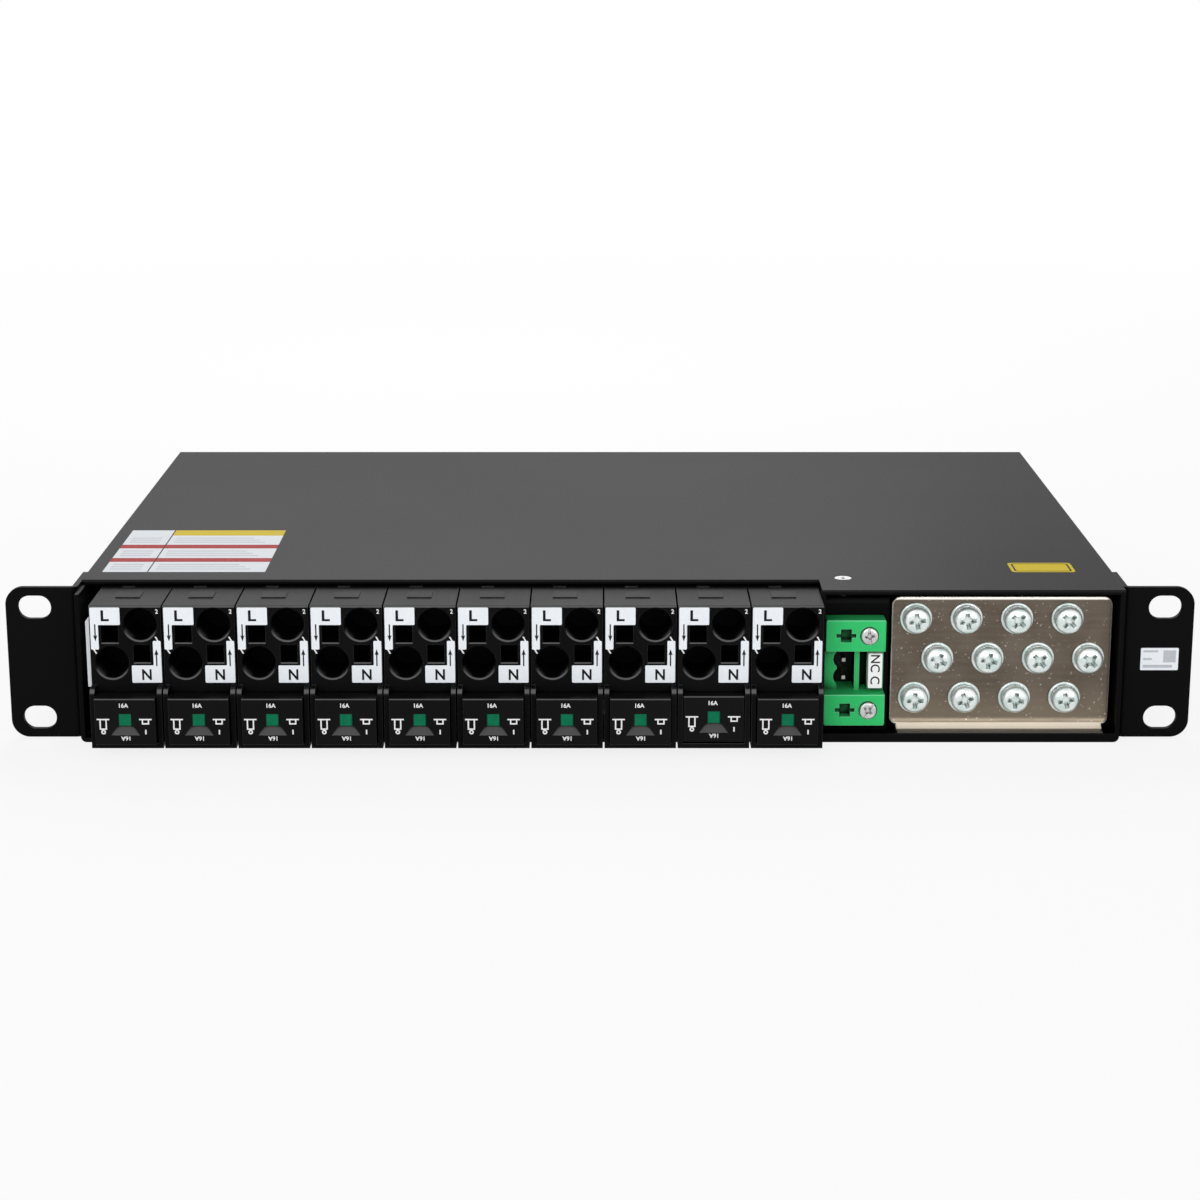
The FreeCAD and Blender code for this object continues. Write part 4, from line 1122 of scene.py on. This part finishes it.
@dataclass
class Case:
    """The folded box, its ears and cover, their screws and the stickers on them."""

    painted: tuple[str, ...] = ("chassis_tray", "top_cover", "left_ear", "right_ear", "bay_wall",
                                "header_panel")
    film: float = 0.03 * MM
    ink: float = 0.01 * MM
    chart_left: float = 4.0 * MM
    chart_front: float = 21.2 * MM
    chart_width: float = 46.0 * MM
    chart_depth: float = 52.0 * MM
    chart_corner: float = 0.5 * MM
    chart_column: float = 13.0 * MM
    chart_band: float = 4.6 * MM
    chart_rows: Span = (0.23, 0.55)
    chart_head: float = 1.5
    chart_line: float = 0.35 * MM
    chart_margin: float = 1.6 * MM
    rule_levels: Triple = (0.2, 0.5, 0.8)
    rule_short: float = 0.8
    rule_end: float = 2.0
    rule_step: float = 4.0
    tag_width: float = 18.0 * MM
    tag_depth: float = 11.0 * MM
    tag_right: float = 19.2 * MM
    tag_middle: float = 26.5 * MM
    tag_corner: float = 1.5 * MM
    tag_inset: float = 0.9 * MM
    tag_line: float = 0.5 * MM
    tag_line_corner: float = 1.0 * MM
    tag_field_corner: float = 0.6 * MM
    ear_label_width: float = 10.5 * MM
    ear_label_height: float = 6.4 * MM
    ear_label_edge: float = 3.7 * MM
    ear_label_rise: float = 1.0 * MM
    ear_label_corner: float = 0.4 * MM
    ear_label_line: float = 0.28 * MM
    ear_label_margin: float = 0.7 * MM
    ear_label_ends: Triple = (0.46, 0.30, 0.84)
    ear_label_block: Point = (0.60, -0.3)
    ear_turns: Span = (0.4, 0.7)
    cover_turns: Span = (0.3, 0.5)
    top_screw_reach: float = 1.0 * MM
    ear_screw: CrossScrew = CrossScrew(
        HeadForm.PAN, head_radius=2.8 * MM, head_height=1.8 * MM, thread_radius=1.5 * MM,
        thread_length=5.0 * MM, wing_length=3.2 * MM, wing_width=0.75 * MM, recess_depth=1.2 * MM)
    top_screw: CrossScrew = CrossScrew(
        HeadForm.SUNK, head_radius=2.4 * MM, head_height=-0.1 * MM, thread_radius=1.5 * MM,
        thread_length=5.0 * MM, wing_length=3.0 * MM, wing_width=0.7 * MM, recess_depth=0.9 * MM)

    def build(self) -> None:
        """Dress the sheet metal and add what is on it."""
        dress(self.painted, CASE_PAINT)
        self.add_screws()
        self.add_chart()
        self.add_tag()
        self.add_ear_label()

    def add_screws(self) -> None:
        """Add the ears' and the cover's screws."""
        pan, sunk = self.ear_screw.mesh(), self.top_screw.mesh()
        ears = Solid()
        for index, box in enumerate(solids_in("ear_screws")):
            side = math.copysign(1.0, box.mid.x)
            tip = box.high.x if side > 0 else box.low.x
            seat = Vector((tip - side * self.ear_screw.head_height, box.mid.y, box.mid.z))
            ears.copy_of(pan, facing(Vector((side, 0, 0)), seat, turn_of(index, self.ear_turns)))
        ears.piece("ear_screw_set", BLACK_STEEL, "black_screw", replaces="ear_screws")
        cover_top = Box.of("top_cover").high.z
        cover = Solid()
        for index, box in enumerate(solids_in("cover_screws")):
            if box.high.z > cover_top - self.top_screw_reach:
                cover.copy_of(sunk, Matrix.Translation((box.mid.x, box.mid.y, cover_top)))
            else:
                seat = Vector((box.mid.x, box.high.y - self.ear_screw.head_height, box.mid.z))
                cover.copy_of(pan, facing(Vector((0, 1, 0)), seat, turn_of(index, self.cover_turns)))
        cover.piece("cover_screw_set", NICKEL, "zinc_screw", replaces="cover_screws")

    def add_chart(self) -> None:
        """Add the plain circuit chart on the cover: ruled fields with colour bands."""
        cover = Box.of("top_cover")
        patch = Patch.top(cover.low.x + self.chart_left, cover.low.y + self.chart_front, cover.high.z)
        width, depth, column, band = self.chart_width, self.chart_depth, self.chart_column, self.chart_band
        low_row, high_row = (depth * share for share in self.chart_rows)
        head = depth - band * self.chart_head
        on_film, on_ink = patch.at(lift=self.film), patch.at(lift=self.film + self.ink)
        paper = rounded(rectangle(0, 0, width, depth), self.chart_corner)
        red = [rectangle(0, low, width, low + band) for low in (low_row, high_row)]
        yellow = rectangle(column, head, width, depth)
        divider = rectangle(column - self.chart_line, 0, column, depth)
        fields = ((0.0, low_row), (low_row + band, high_row), (high_row + band, head))
        flat_piece("chart_film", LABEL_FILM, [paper], patch.at(), self.film)
        flat_piece("chart_red_bands", RED_INK, red, on_film, self.ink)
        flat_piece("chart_yellow_band", YELLOW_INK, [yellow], on_film, self.ink)
        flat_piece("chart_divider", BLACK_INK, [divider], on_ink, self.ink)
        flat_piece("chart_ruled_lines", GREY_INK, self.rules(fields), on_film, self.ink)

    def rules(self, fields: Iterable[Span]) -> list[list[Point]]:
        """Rule the chart's fields: short lines in the first column, and shrinking ones beside them.

        Args:
            fields: Lower and upper edge of each field.

        Returns:
            The outlines of the lines.
        """
        line, margin, column = self.chart_line, self.chart_margin, self.chart_column
        bars = []
        for low, high in fields:
            start, end = low + margin, high - margin
            for share in self.rule_levels:
                level = start + (end - start) * share
                far = self.chart_width - margin * (self.rule_end + self.rule_step * share)
                for left, right in ((margin, column * self.rule_short), (column + margin, far)):
                    bars.append(rectangle(left, level - line, right, level + line))
        return bars

    def add_tag(self) -> None:
        """Add the plain yellow tag on the cover, with a thin dark line round it."""
        cover = Box.of("top_cover")
        patch = Patch.top(cover.high.x - self.tag_right, cover.low.y + self.tag_middle, cover.high.z)
        flat_piece("yellow_tag", YELLOW_INK, [self.tag_outline(0.0, self.tag_corner)], patch.at(), self.film)
        outer = self.tag_outline(self.tag_inset, self.tag_line_corner)
        inner = self.tag_outline(self.tag_inset + self.tag_line, self.tag_field_corner)
        border = Solid()
        border.frame_plate(outer, inner, patch.at(lift=self.film), self.ink)
        border.piece("yellow_tag_line", BLACK_INK)

    def tag_outline(self, inset: float, corner: float) -> list[Point]:
        """Give the tag's outline, drawn in by an inset."""
        wide, deep = self.tag_width / 2 - inset, self.tag_depth / 2 - inset
        return rounded(rectangle(-wide, -deep, wide, deep), corner)

    def add_ear_label(self) -> None:
        """Add the small white label on the right ear, with plain grey fields."""
        ear = Box.of("right_ear")
        left = ear.high.x - self.ear_label_edge - self.ear_label_width
        patch = Patch.front(left, ear.low.y, ear.mid.z + self.ear_label_rise)
        width, half = self.ear_label_width, self.ear_label_height / 2
        film = rounded(rectangle(0, -half, width, half), self.ear_label_corner)
        flat_piece("ear_label_film", LABEL_FILM, [film], patch.at(), self.film)
        thin, margin = self.ear_label_line, self.ear_label_margin
        title, note, foot = (width * share for share in self.ear_label_ends)
        block_left, block_low = self.ear_label_block
        fields = (
            rectangle(margin, half - margin - 2 * thin, title, half - margin),
            rectangle(margin, -thin, note, thin),
            rectangle(margin, margin - half, foot, margin + 3 * thin - half),
            rectangle(width * block_left, half * block_low, width - margin, half - margin),
        )
        flat_piece("ear_label_fields", GREY_INK, fields, patch.at(lift=self.film), self.ink)


@dataclass
class ButtonPrint:
    """The white print on a button's face, placed from the middle of its window."""

    ink: float = 0.02 * MM
    line: float = 0.38 * MM
    rating: str = "16A"
    rating_size: Point = (2.5 * MM, 1.25 * MM)
    rating_weight: float = 0.025
    rating_high: Point = (-0.2 * MM, 4.1 * MM)
    rating_low: Point = (0.0, -5.25 * MM)
    symbol_reach: float = 1.7 * MM
    symbol_half: float = 1.0 * MM
    symbol_top: float = 0.35 * MM
    off_across: float = -5.95 * MM
    off_low: float = -2.75 * MM
    on_across: float = 5.55 * MM
    on_low: float = -1.25 * MM
    sign_level: float = -3.4 * MM
    sign_half: float = 0.65 * MM

    def build(self, button: str, body: str) -> None:
        """Print one button.

        Args:
            button: The button's node.
            body: The body that the button belongs to.
        """
        window = Box.of("window_" + button[-2:]).mid
        patch = Patch.front(window.x, Box.of(button).low.y, window.z)
        white = Solid()
        for place, turn in ((self.rating_high, 0.0), (self.rating_low, math.pi)):
            spot = patch.at(*place, turn=turn)
            white.letters(self.rating, spot, self.rating_size, self.ink, self.rating_weight)
        for across, low in ((self.off_across, self.off_low), (self.on_across, self.on_low)):
            self.add_symbol(white, patch, across, low)
        half, line = self.sign_half, self.line
        ring = patch.at(self.off_across, self.sign_level)
        white.frame_plate(ring_of(half), ring_of(half - line), ring, self.ink)
        bar = rectangle(-line / 2, -half, line / 2, half)
        white.plate(bar, patch.at(self.on_across, self.sign_level), self.ink)
        white.piece("button_print_" + button[-2:], WHITE_INK, body=body)

    def add_symbol(self, white: Solid, patch: Patch, across: float, low: float) -> None:
        """Add the sign of a button under a bar: out for off, in for on.

        Args:
            white: The print to add to.
            patch: The button's face.
            across: The sign's place across the face.
            low: How far down the button in the sign reaches.
        """
        line, half = self.line, self.symbol_half
        under = self.symbol_top - line
        inner, floor = half - line, low + line
        bar = rectangle(-self.symbol_reach, under, self.symbol_reach, self.symbol_top)
        button = [(-half, under), (-half, low), (half, low), (half, under),
                  (inner, under), (inner, floor), (-inner, floor), (-inner, under)]
        for stroke in (bar, button):
            white.plate(stroke, patch.at(across), self.ink)


class Pole(Enum):
    """A breaker's pole: its letter, its sticker's turn, and the letter's width as a share of its height."""

    LIVE = ("L", 0.0, 0.72)
    NEUTRAL = ("N", math.pi, 0.86)

    def __init__(self, letter: str, turn: float, width_share: float) -> None:
        """Name the pole's values.

        Args:
            letter: The letter on its sticker.
            turn: The sticker's turn on the breaker's face.
            width_share: The letter's width as a share of its height.
        """
        self.letter = letter
        self.turn = turn
        self.width_share = width_share


@dataclass
class BreakerRow:
    """The row of breakers: stickers and print on their faces, buttons and windows."""

    face_set: float = 4.0 * MM
    film: float = 0.08 * MM
    ink: float = 0.02 * MM
    sticker_drop: float = 0.4 * MM
    half_width: float = 9.5 * MM
    bar_length: float = 8.15 * MM
    bar_far: float = 10.6 * MM
    bar_near: float = 5.7 * MM
    arm_width: float = 2.15 * MM
    arm_end: float = 1.22 * MM
    corner: float = 0.35 * MM
    letter_place: Point = (-5.4 * MM, 8.3 * MM)
    letter_height: float = 3.05 * MM
    letter_weight: float = 0.028
    arrow_start: float = 5.9 * MM
    arrow_end: float = 1.1 * MM
    arrow_line: float = 0.36 * MM
    arrow_width: float = 1.15 * MM
    arrow_head: float = 1.5 * MM
    arrow_place: float = 0.6
    arrow_sweep: float = 0.15
    tick_place: float = 0.35
    tick_width: float = 0.42 * MM
    tick_fall: Point = (0.65 * MM, 1.15 * MM)
    digit: str = "2"
    digit_place: Point = (8.7 * MM, 9.5 * MM)
    digit_size: Point = (0.75 * MM, 1.25 * MM)
    digit_weight: float = 0.02
    button_print: ButtonPrint = field(default_factory=ButtonPrint)

    def build(self) -> None:
        """Dress the breakers and their buttons, and add stickers and print."""
        dress(nodes_named("breaker_"), BREAKER_PLASTIC)
        dress(nodes_named("button_"), BUTTON_PLASTIC)
        dress(nodes_named("window_"), WINDOW_LENS)
        self.add_stickers()
        for number, button in enumerate(nodes_named("button_"), start=1):
            self.button_print.build(button, "push_%02d" % number)

    def faces(self) -> list[Patch]:
        """Find the middle of each breaker's terminal face.

        Returns:
            A patch for each breaker, between its two wire entries.
        """
        entries = {mount["name"]: Vector(mount["pos_m"]) for mount in frame["record"]["mounts"]}
        patches = []
        for name in nodes_named("breaker_"):
            box = Box.of(name)
            number = name[-2:]
            middle = (entries["wire_live_" + number] + entries["wire_neutral_" + number]) / 2
            patches.append(Patch.front(box.mid.x, box.low.y + self.face_set, middle.z - self.sticker_drop))
        return patches

    def sticker_outline(self) -> list[Point]:
        """Give the angled sticker: a bar along the top and an arm down the side.

        Returns:
            Its outline about the middle of the face.
        """
        left = -self.half_width
        return rounded([
            (left, -self.arm_end),
            (left + self.arm_width, -self.arm_end),
            (left + self.arm_width, self.bar_near),
            (left + self.bar_length, self.bar_near),
            (left + self.bar_length, self.bar_far),
            (left, self.bar_far),
        ], self.corner)

    def arrow_outline(self) -> list[Point]:
        """Give the arrow on the sticker's arm.

        Returns:
            Its outline, pointing down.
        """
        middle = self.arm_width * self.arrow_place - self.half_width
        line, wing = self.arrow_line / 2, self.arrow_width / 2
        neck = self.arrow_end + self.arrow_head
        barb = neck + self.arrow_head * self.arrow_sweep
        return [
            (middle, self.arrow_end),
            (middle + wing, barb),
            (middle + line, neck),
            (middle + line, self.arrow_start),
            (middle - line, self.arrow_start),
            (middle - line, neck),
            (middle - wing, barb),
        ]

    def tick_outline(self) -> list[Point]:
        """Give the white tick that runs on from the end of the sticker's arm.

        Returns:
            Its outline.
        """
        side = self.tick_width / 2
        across, down = self.tick_fall
        x, y = self.arm_width * self.tick_place - self.half_width, -self.arm_end
        return [(x - side, y), (x + across - side, y - down), (x + across + side, y - down), (x + side, y)]

    def add_stickers(self) -> None:
        """Add the live and neutral stickers, their letters and arrows, and the white ticks and digits."""
        film, ink, marks = Solid(), Solid(), Solid()
        for patch in self.faces():
            for pole in Pole:
                on_face, on_film = patch.at(turn=pole.turn), patch.at(lift=self.film, turn=pole.turn)
                film.plate(self.sticker_outline(), on_face, self.film)
                ink.plate(self.arrow_outline(), on_film, self.ink)
                across, up = (math.cos(pole.turn) * place for place in self.letter_place)
                size = (self.letter_height * pole.width_share, self.letter_height)
                spot = patch.at(across, up, self.film)
                ink.letters(pole.letter, spot, size, self.ink, self.letter_weight)
                marks.plate(self.tick_outline(), on_face, self.ink)
            spot = patch.at(*self.digit_place)
            marks.letters(self.digit, spot, self.digit_size, self.ink, self.digit_weight)
        film.piece("terminal_stickers", LABEL_FILM)
        ink.piece("terminal_sticker_print", BLACK_INK)
        marks.piece("terminal_face_marks", WHITE_INK)


@dataclass
class SignalHeader:
    """The green header with its pins, screws, well liner and marking strip."""

    screw: CrossScrew = CrossScrew(
        HeadForm.CHEESE, head_radius=2.4 * MM, head_height=1.4 * MM, thread_radius=1.2 * MM,
        thread_length=0.4 * MM, wing_length=2.9 * MM, wing_width=0.75 * MM, recess_depth=0.8 * MM,
        slotted=True)
    screw_turns: Span = (0.9, 0.8)
    ledge_set: float = 5.6 * MM
    strip_left: float = 12.3 * MM
    strip_width: float = 3.9 * MM
    strip_length: float = 10.0 * MM
    strip_sheet: float = 3.2 * MM
    strip_corner: float = 0.3 * MM
    ink: float = 0.02 * MM
    text: str = "NC C"
    text_size: Point = (8.4 * MM, 2.6 * MM)
    text_rise: float = 0.35 * MM
    text_weight: float = 0.01
    block_height: float = 8.9 * MM
    tail_set: float = 6.0 * MM
    tail_width: float = 13.0 * MM
    liner_sheet: float = 0.15 * MM

    def build(self) -> None:
        """Dress the header and add its screws, the well's liner and the strip."""
        dress(["header_body"], HEADER_PLASTIC)
        dress(["header_pins"], PIN_TIN)
        screw = self.screw.mesh()
        pair = Solid()
        for index, box in enumerate(solids_in("header_screws")):
            seat = Vector((box.mid.x, box.low.y + self.screw.head_height, box.mid.z))
            pair.copy_of(screw, facing(Vector((0, -1, 0)), seat, turn_of(index, self.screw_turns)))
        pair.piece("header_screw_pair", NICKEL, "zinc_screw", replaces="header_screws")
        self.add_liner()
        self.add_strip()

    def add_liner(self) -> None:
        """Close the plug well below and above, where it runs on into the header's tail."""
        header = Box.of("header_body")
        half, start = self.tail_width / 2, header.low.y + self.tail_set
        outline = rectangle(header.mid.x - half, start, header.mid.x + half, header.high.y)
        floor = header.low.z + self.block_height - self.liner_sheet
        roof = header.high.z - self.block_height
        liner = Solid()
        for level in (floor, roof):
            liner.plate(outline, Matrix.Translation((0.0, 0.0, level)), self.liner_sheet)
        liner.piece("header_well_liner", HEADER_PLASTIC, "green_plastic")

    def add_strip(self) -> None:
        """Add the white marking strip with its contact letters."""
        header = Box.of("header_body")
        patch = Patch.front(header.low.x + self.strip_left, header.low.y + self.ledge_set, header.mid.z)
        half = self.strip_length / 2
        outline = rounded(rectangle(0, -half, self.strip_width, half), self.strip_corner)
        flat_piece("marking_strip", STRIP_FILM, [outline], patch.at(), self.strip_sheet, "white_plastic")
        letters = Solid()
        spot = patch.at(self.strip_width / 2, self.text_rise, self.strip_sheet, -math.pi / 2)
        letters.letters(self.text, spot, self.text_size, self.ink, self.text_weight)
        letters.piece("marking_strip_print", BLACK_INK)


@dataclass
class EarthPlate:
    """The tinned earth plate with its screws, washers and nuts."""

    screw: CrossScrew = CrossScrew(
        HeadForm.PAN, head_radius=3.85 * MM, head_height=2.7 * MM, thread_radius=2.0 * MM,
        thread_length=7.1 * MM, wing_length=4.8 * MM, wing_width=1.25 * MM, recess_depth=1.9 * MM)
    screw_turn: float = 0.37
    washer_turns: Span = (0.0, 0.8)
    washer_points: int = 48
    washer_radius: float = 4.5 * MM
    washer_sheet: float = 0.9 * MM
    washer_edge: float = 0.2 * MM
    hole: float = 2.1 * MM
    ring_radius: float = 3.5 * MM
    ring_sheet: float = 0.8 * MM
    ring_rise: float = 0.1 * MM
    ring_gap: float = math.radians(9)
    ring_count: int = 40

    def build(self) -> None:
        """Dress the plate and add its hardware."""
        dress(["earth_plate"], PLATE_TIN)
        dress(["earth_nuts", "earth_plate_screws"], ZINC)
        self.add_screws()
        self.add_washers()

    def add_screws(self) -> None:
        """Add the twelve screws, each turned to a place of its own."""
        screw = self.screw.mesh()
        screws = Solid()
        for index, box in enumerate(solids_in("earth_screws")):
            seat = Vector((box.mid.x, box.low.y + self.screw.head_height, box.mid.z))
            screws.copy_of(screw, facing(Vector((0, -1, 0)), seat, index * index * self.screw_turn))
        screws.piece("earth_screw_set", ZINC, "zinc_screw", replaces="earth_screws")

    def add_washers(self) -> None:
        """Add a flat washer and a split spring ring under each screw."""
        edge, sheet, outer, hole = self.washer_edge, self.washer_sheet, self.washer_radius, self.hole
        section = [(hole, 0.0), (outer - edge, 0.0), (outer, edge), (outer, sheet - edge),
                   (outer - edge, sheet), (hole, sheet)]
        washers = Solid()
        for index, box in enumerate(solids_in("earth_washers")):
            seat = Vector((box.mid.x, box.high.y, box.mid.z))
            place = facing(Vector((0, -1, 0)), seat, turn_of(index, self.washer_turns))
            levels = [(ring_of(radius, self.washer_points), height) for radius, height in section]
            washers.hoop(levels, place)
            self.add_spring_ring(washers, place)
        washers.piece("earth_washer_set", ZINC, "zinc_screw", replaces="earth_washers")

    def add_spring_ring(self, washers: Solid, place: Matrix) -> None:
        """Add a split ring that climbs a little along its turn.

        Args:
            washers: The mesh to add to.
            place: Where the washer under it stands.
        """
        sweep = math.tau - self.ring_gap
        inner, outer = self.hole, self.ring_radius
        sections = []
        for step in range(self.ring_count + 1):
            share = step / self.ring_count
            turn = sweep * share
            low = self.washer_sheet + self.ring_rise * share
            high = low + self.ring_sheet
            across, up = math.cos(turn), math.sin(turn)
            sections.append([
                washers.shape.verts.new(place @ Vector((radius * across, radius * up, height)))
                for radius, height in ((inner, low), (outer, low), (outer, high), (inner, high))
            ])
        for first, second in zip(sections, sections[1:]):
            washers.wrap(second, first)
        washers.shape.faces.new(sections[0])
        washers.shape.faces.new(reversed(sections[-1]))


@dataclass
class SupplySide:
    """What carries and feeds the breakers inside the box."""

    finishes: tuple[tuple[str, Finish], ...] = (
        ("breaker_rail", RAIL_STEEL),
        ("end_spacer", SPACER_PLASTIC),
        ("live_bar", BAR_COPPER),
        ("neutral_bar", BAR_COPPER),
        ("bar_screws", ZINC),
        ("input_block", TERMINAL_PLASTIC),
        ("inlet_grommet", GROMMET_RUBBER),
    )

    def build(self) -> None:
        """Dress the rail, the spacer, the bars, the input block and the grommet."""
        for name, finish in self.finishes:
            dress([name], finish)


@dataclass(frozen=True)
class Softbox:
    """A square studio light that points at the object."""

    name: str
    place: Triple
    side: float
    power: float

    def build(self, target: Vector) -> None:
        """Hang the light.

        Args:
            target: What it points at.
        """
        light = bpy.data.lights.new(self.name, "AREA")
        light.shape = "SQUARE"
        light.size = self.side
        light.energy = self.power
        lamp = bpy.data.objects.new(self.name, light)
        lamp.location = self.place
        lamp.rotation_euler = (target - Vector(self.place)).to_track_quat("-Z", "Y").to_euler()
        bpy.context.scene.collection.objects.link(lamp)
        LOG.info("light %s", self.name)


@dataclass
class Studio:
    """The white floor, the soft light and the camera."""

    floor_half: float = 12.0
    floor_drop: float = 0.05 * MM
    floor_color: Color = grey(0.88)
    floor_white: float = 0.84
    shadow_reach: float = 0.30
    backdrop_reach: float = 1.2
    ambient: float = 0.45
    lens: float = 80.28
    sensor: float = 36.0
    camera_place: Triple = (0.0, -0.7163, 0.225)
    camera_tilt: float = math.radians(75.5)
    clip_start: float = 10 * MM
    lights: tuple[Softbox, ...] = (
        Softbox("key_light", place=(-0.45, -1.10, 0.60), side=0.8, power=6.3),
        Softbox("fill_light", place=(0.50, -1.15, 0.20), side=0.8, power=5.5),
        Softbox("top_light", place=(-0.08, 0.70, 0.60), side=0.6, power=3.2),
    )

    def build(self) -> None:
        """Set up the floor, the surroundings, the lights and the camera."""
        self.add_floor()
        self.set_world()
        middle = (CAD_BOX[0] + CAD_BOX[1]) / 2
        for light in self.lights:
            light.build(middle)
        self.add_camera()
        bpy.context.scene.view_settings.view_transform = "Standard"

    def seen_directly(self, tree: Tree) -> Wire:
        """Tell the camera's, mirrored and clear-through rays from the rest.

        Args:
            tree: The node tree.

        Returns:
            1 for such a ray, and 0 for one that only lights.
        """
        rays = [tree.node("ShaderNodeLightPath", out=kind)
                for kind in ("Is Camera Ray", "Is Glossy Ray", "Is Transmission Ray")]
        return rays[0].most(rays[1]).most(rays[2])

    def add_floor(self) -> None:
        """Lay the floor: white where it is seen, with the object's shadow near the object."""
        half = self.floor_half
        sheet = Solid()
        corners = [sheet.shape.verts.new((x, y, -self.floor_drop))
                   for x, y in rectangle(-half, -half, half, half)]
        sheet.shape.faces.new(corners)
        mesh = sheet.mesh("floor")
        material = bpy.data.materials.new("white_floor")
        tree = Tree(material)
        matt = tree.node("ShaderNodeBsdfDiffuse", {}, {"Color": self.floor_color})
        white = tree.node("ShaderNodeEmission", {}, {"Color": WHITE, "Strength": 1.0})
        place = tree.node("ShaderNodeTexCoord", out="Object")
        away = tree.node("ShaderNodeVectorMath", {"operation": "LENGTH"}, {0: place}, out=1)
        far = tree.ease(away, (self.shadow_reach, self.backdrop_reach))
        share = self.seen_directly(tree) * (self.floor_white + far * (1.0 - self.floor_white))
        both = tree.node("ShaderNodeMixShader", {}, {0: share, 1: matt, 2: white})
        tree.node("ShaderNodeOutputMaterial", {}, {"Surface": both})
        mesh.materials.append(material)
        floor = bpy.data.objects.new("floor", mesh)
        bpy.context.scene.collection.objects.link(floor)

    def set_world(self) -> None:
        """Surround the object with soft white light."""
        world = bpy.data.worlds.new("studio")
        bpy.context.scene.world = world
        tree = Tree(world)
        soft = tree.node("ShaderNodeBackground", {}, {"Color": WHITE, "Strength": self.ambient})
        white = tree.node("ShaderNodeBackground", {}, {"Color": WHITE, "Strength": 1.0})
        both = tree.node("ShaderNodeMixShader", {}, {0: self.seen_directly(tree), 1: soft, 2: white})
        tree.node("ShaderNodeOutputWorld", {}, {"Surface": both})

    def add_camera(self) -> None:
        """Place the camera in front of the box and a little above it."""
        data = bpy.data.cameras.new("camera")
        data.lens = self.lens
        data.sensor_width = self.sensor
        data.clip_start = self.clip_start
        camera = bpy.data.objects.new("camera", data)
        camera.location = self.camera_place
        camera.rotation_euler = (self.camera_tilt, 0.0, 0.0)
        bpy.context.scene.collection.objects.link(camera)
        bpy.context.scene.camera = camera


def main() -> None:
    """Dress the sub-assemblies in order and set up the studio."""
    logging.basicConfig(level=logging.INFO, format="%(message)s")
    for assembly in (Case(), BreakerRow(), SignalHeader(), EarthPlate(), SupplySide(), Studio()):
        LOG.info("building %s", type(assembly).__name__)
        assembly.build()


if __name__ == "__main__":
    main()
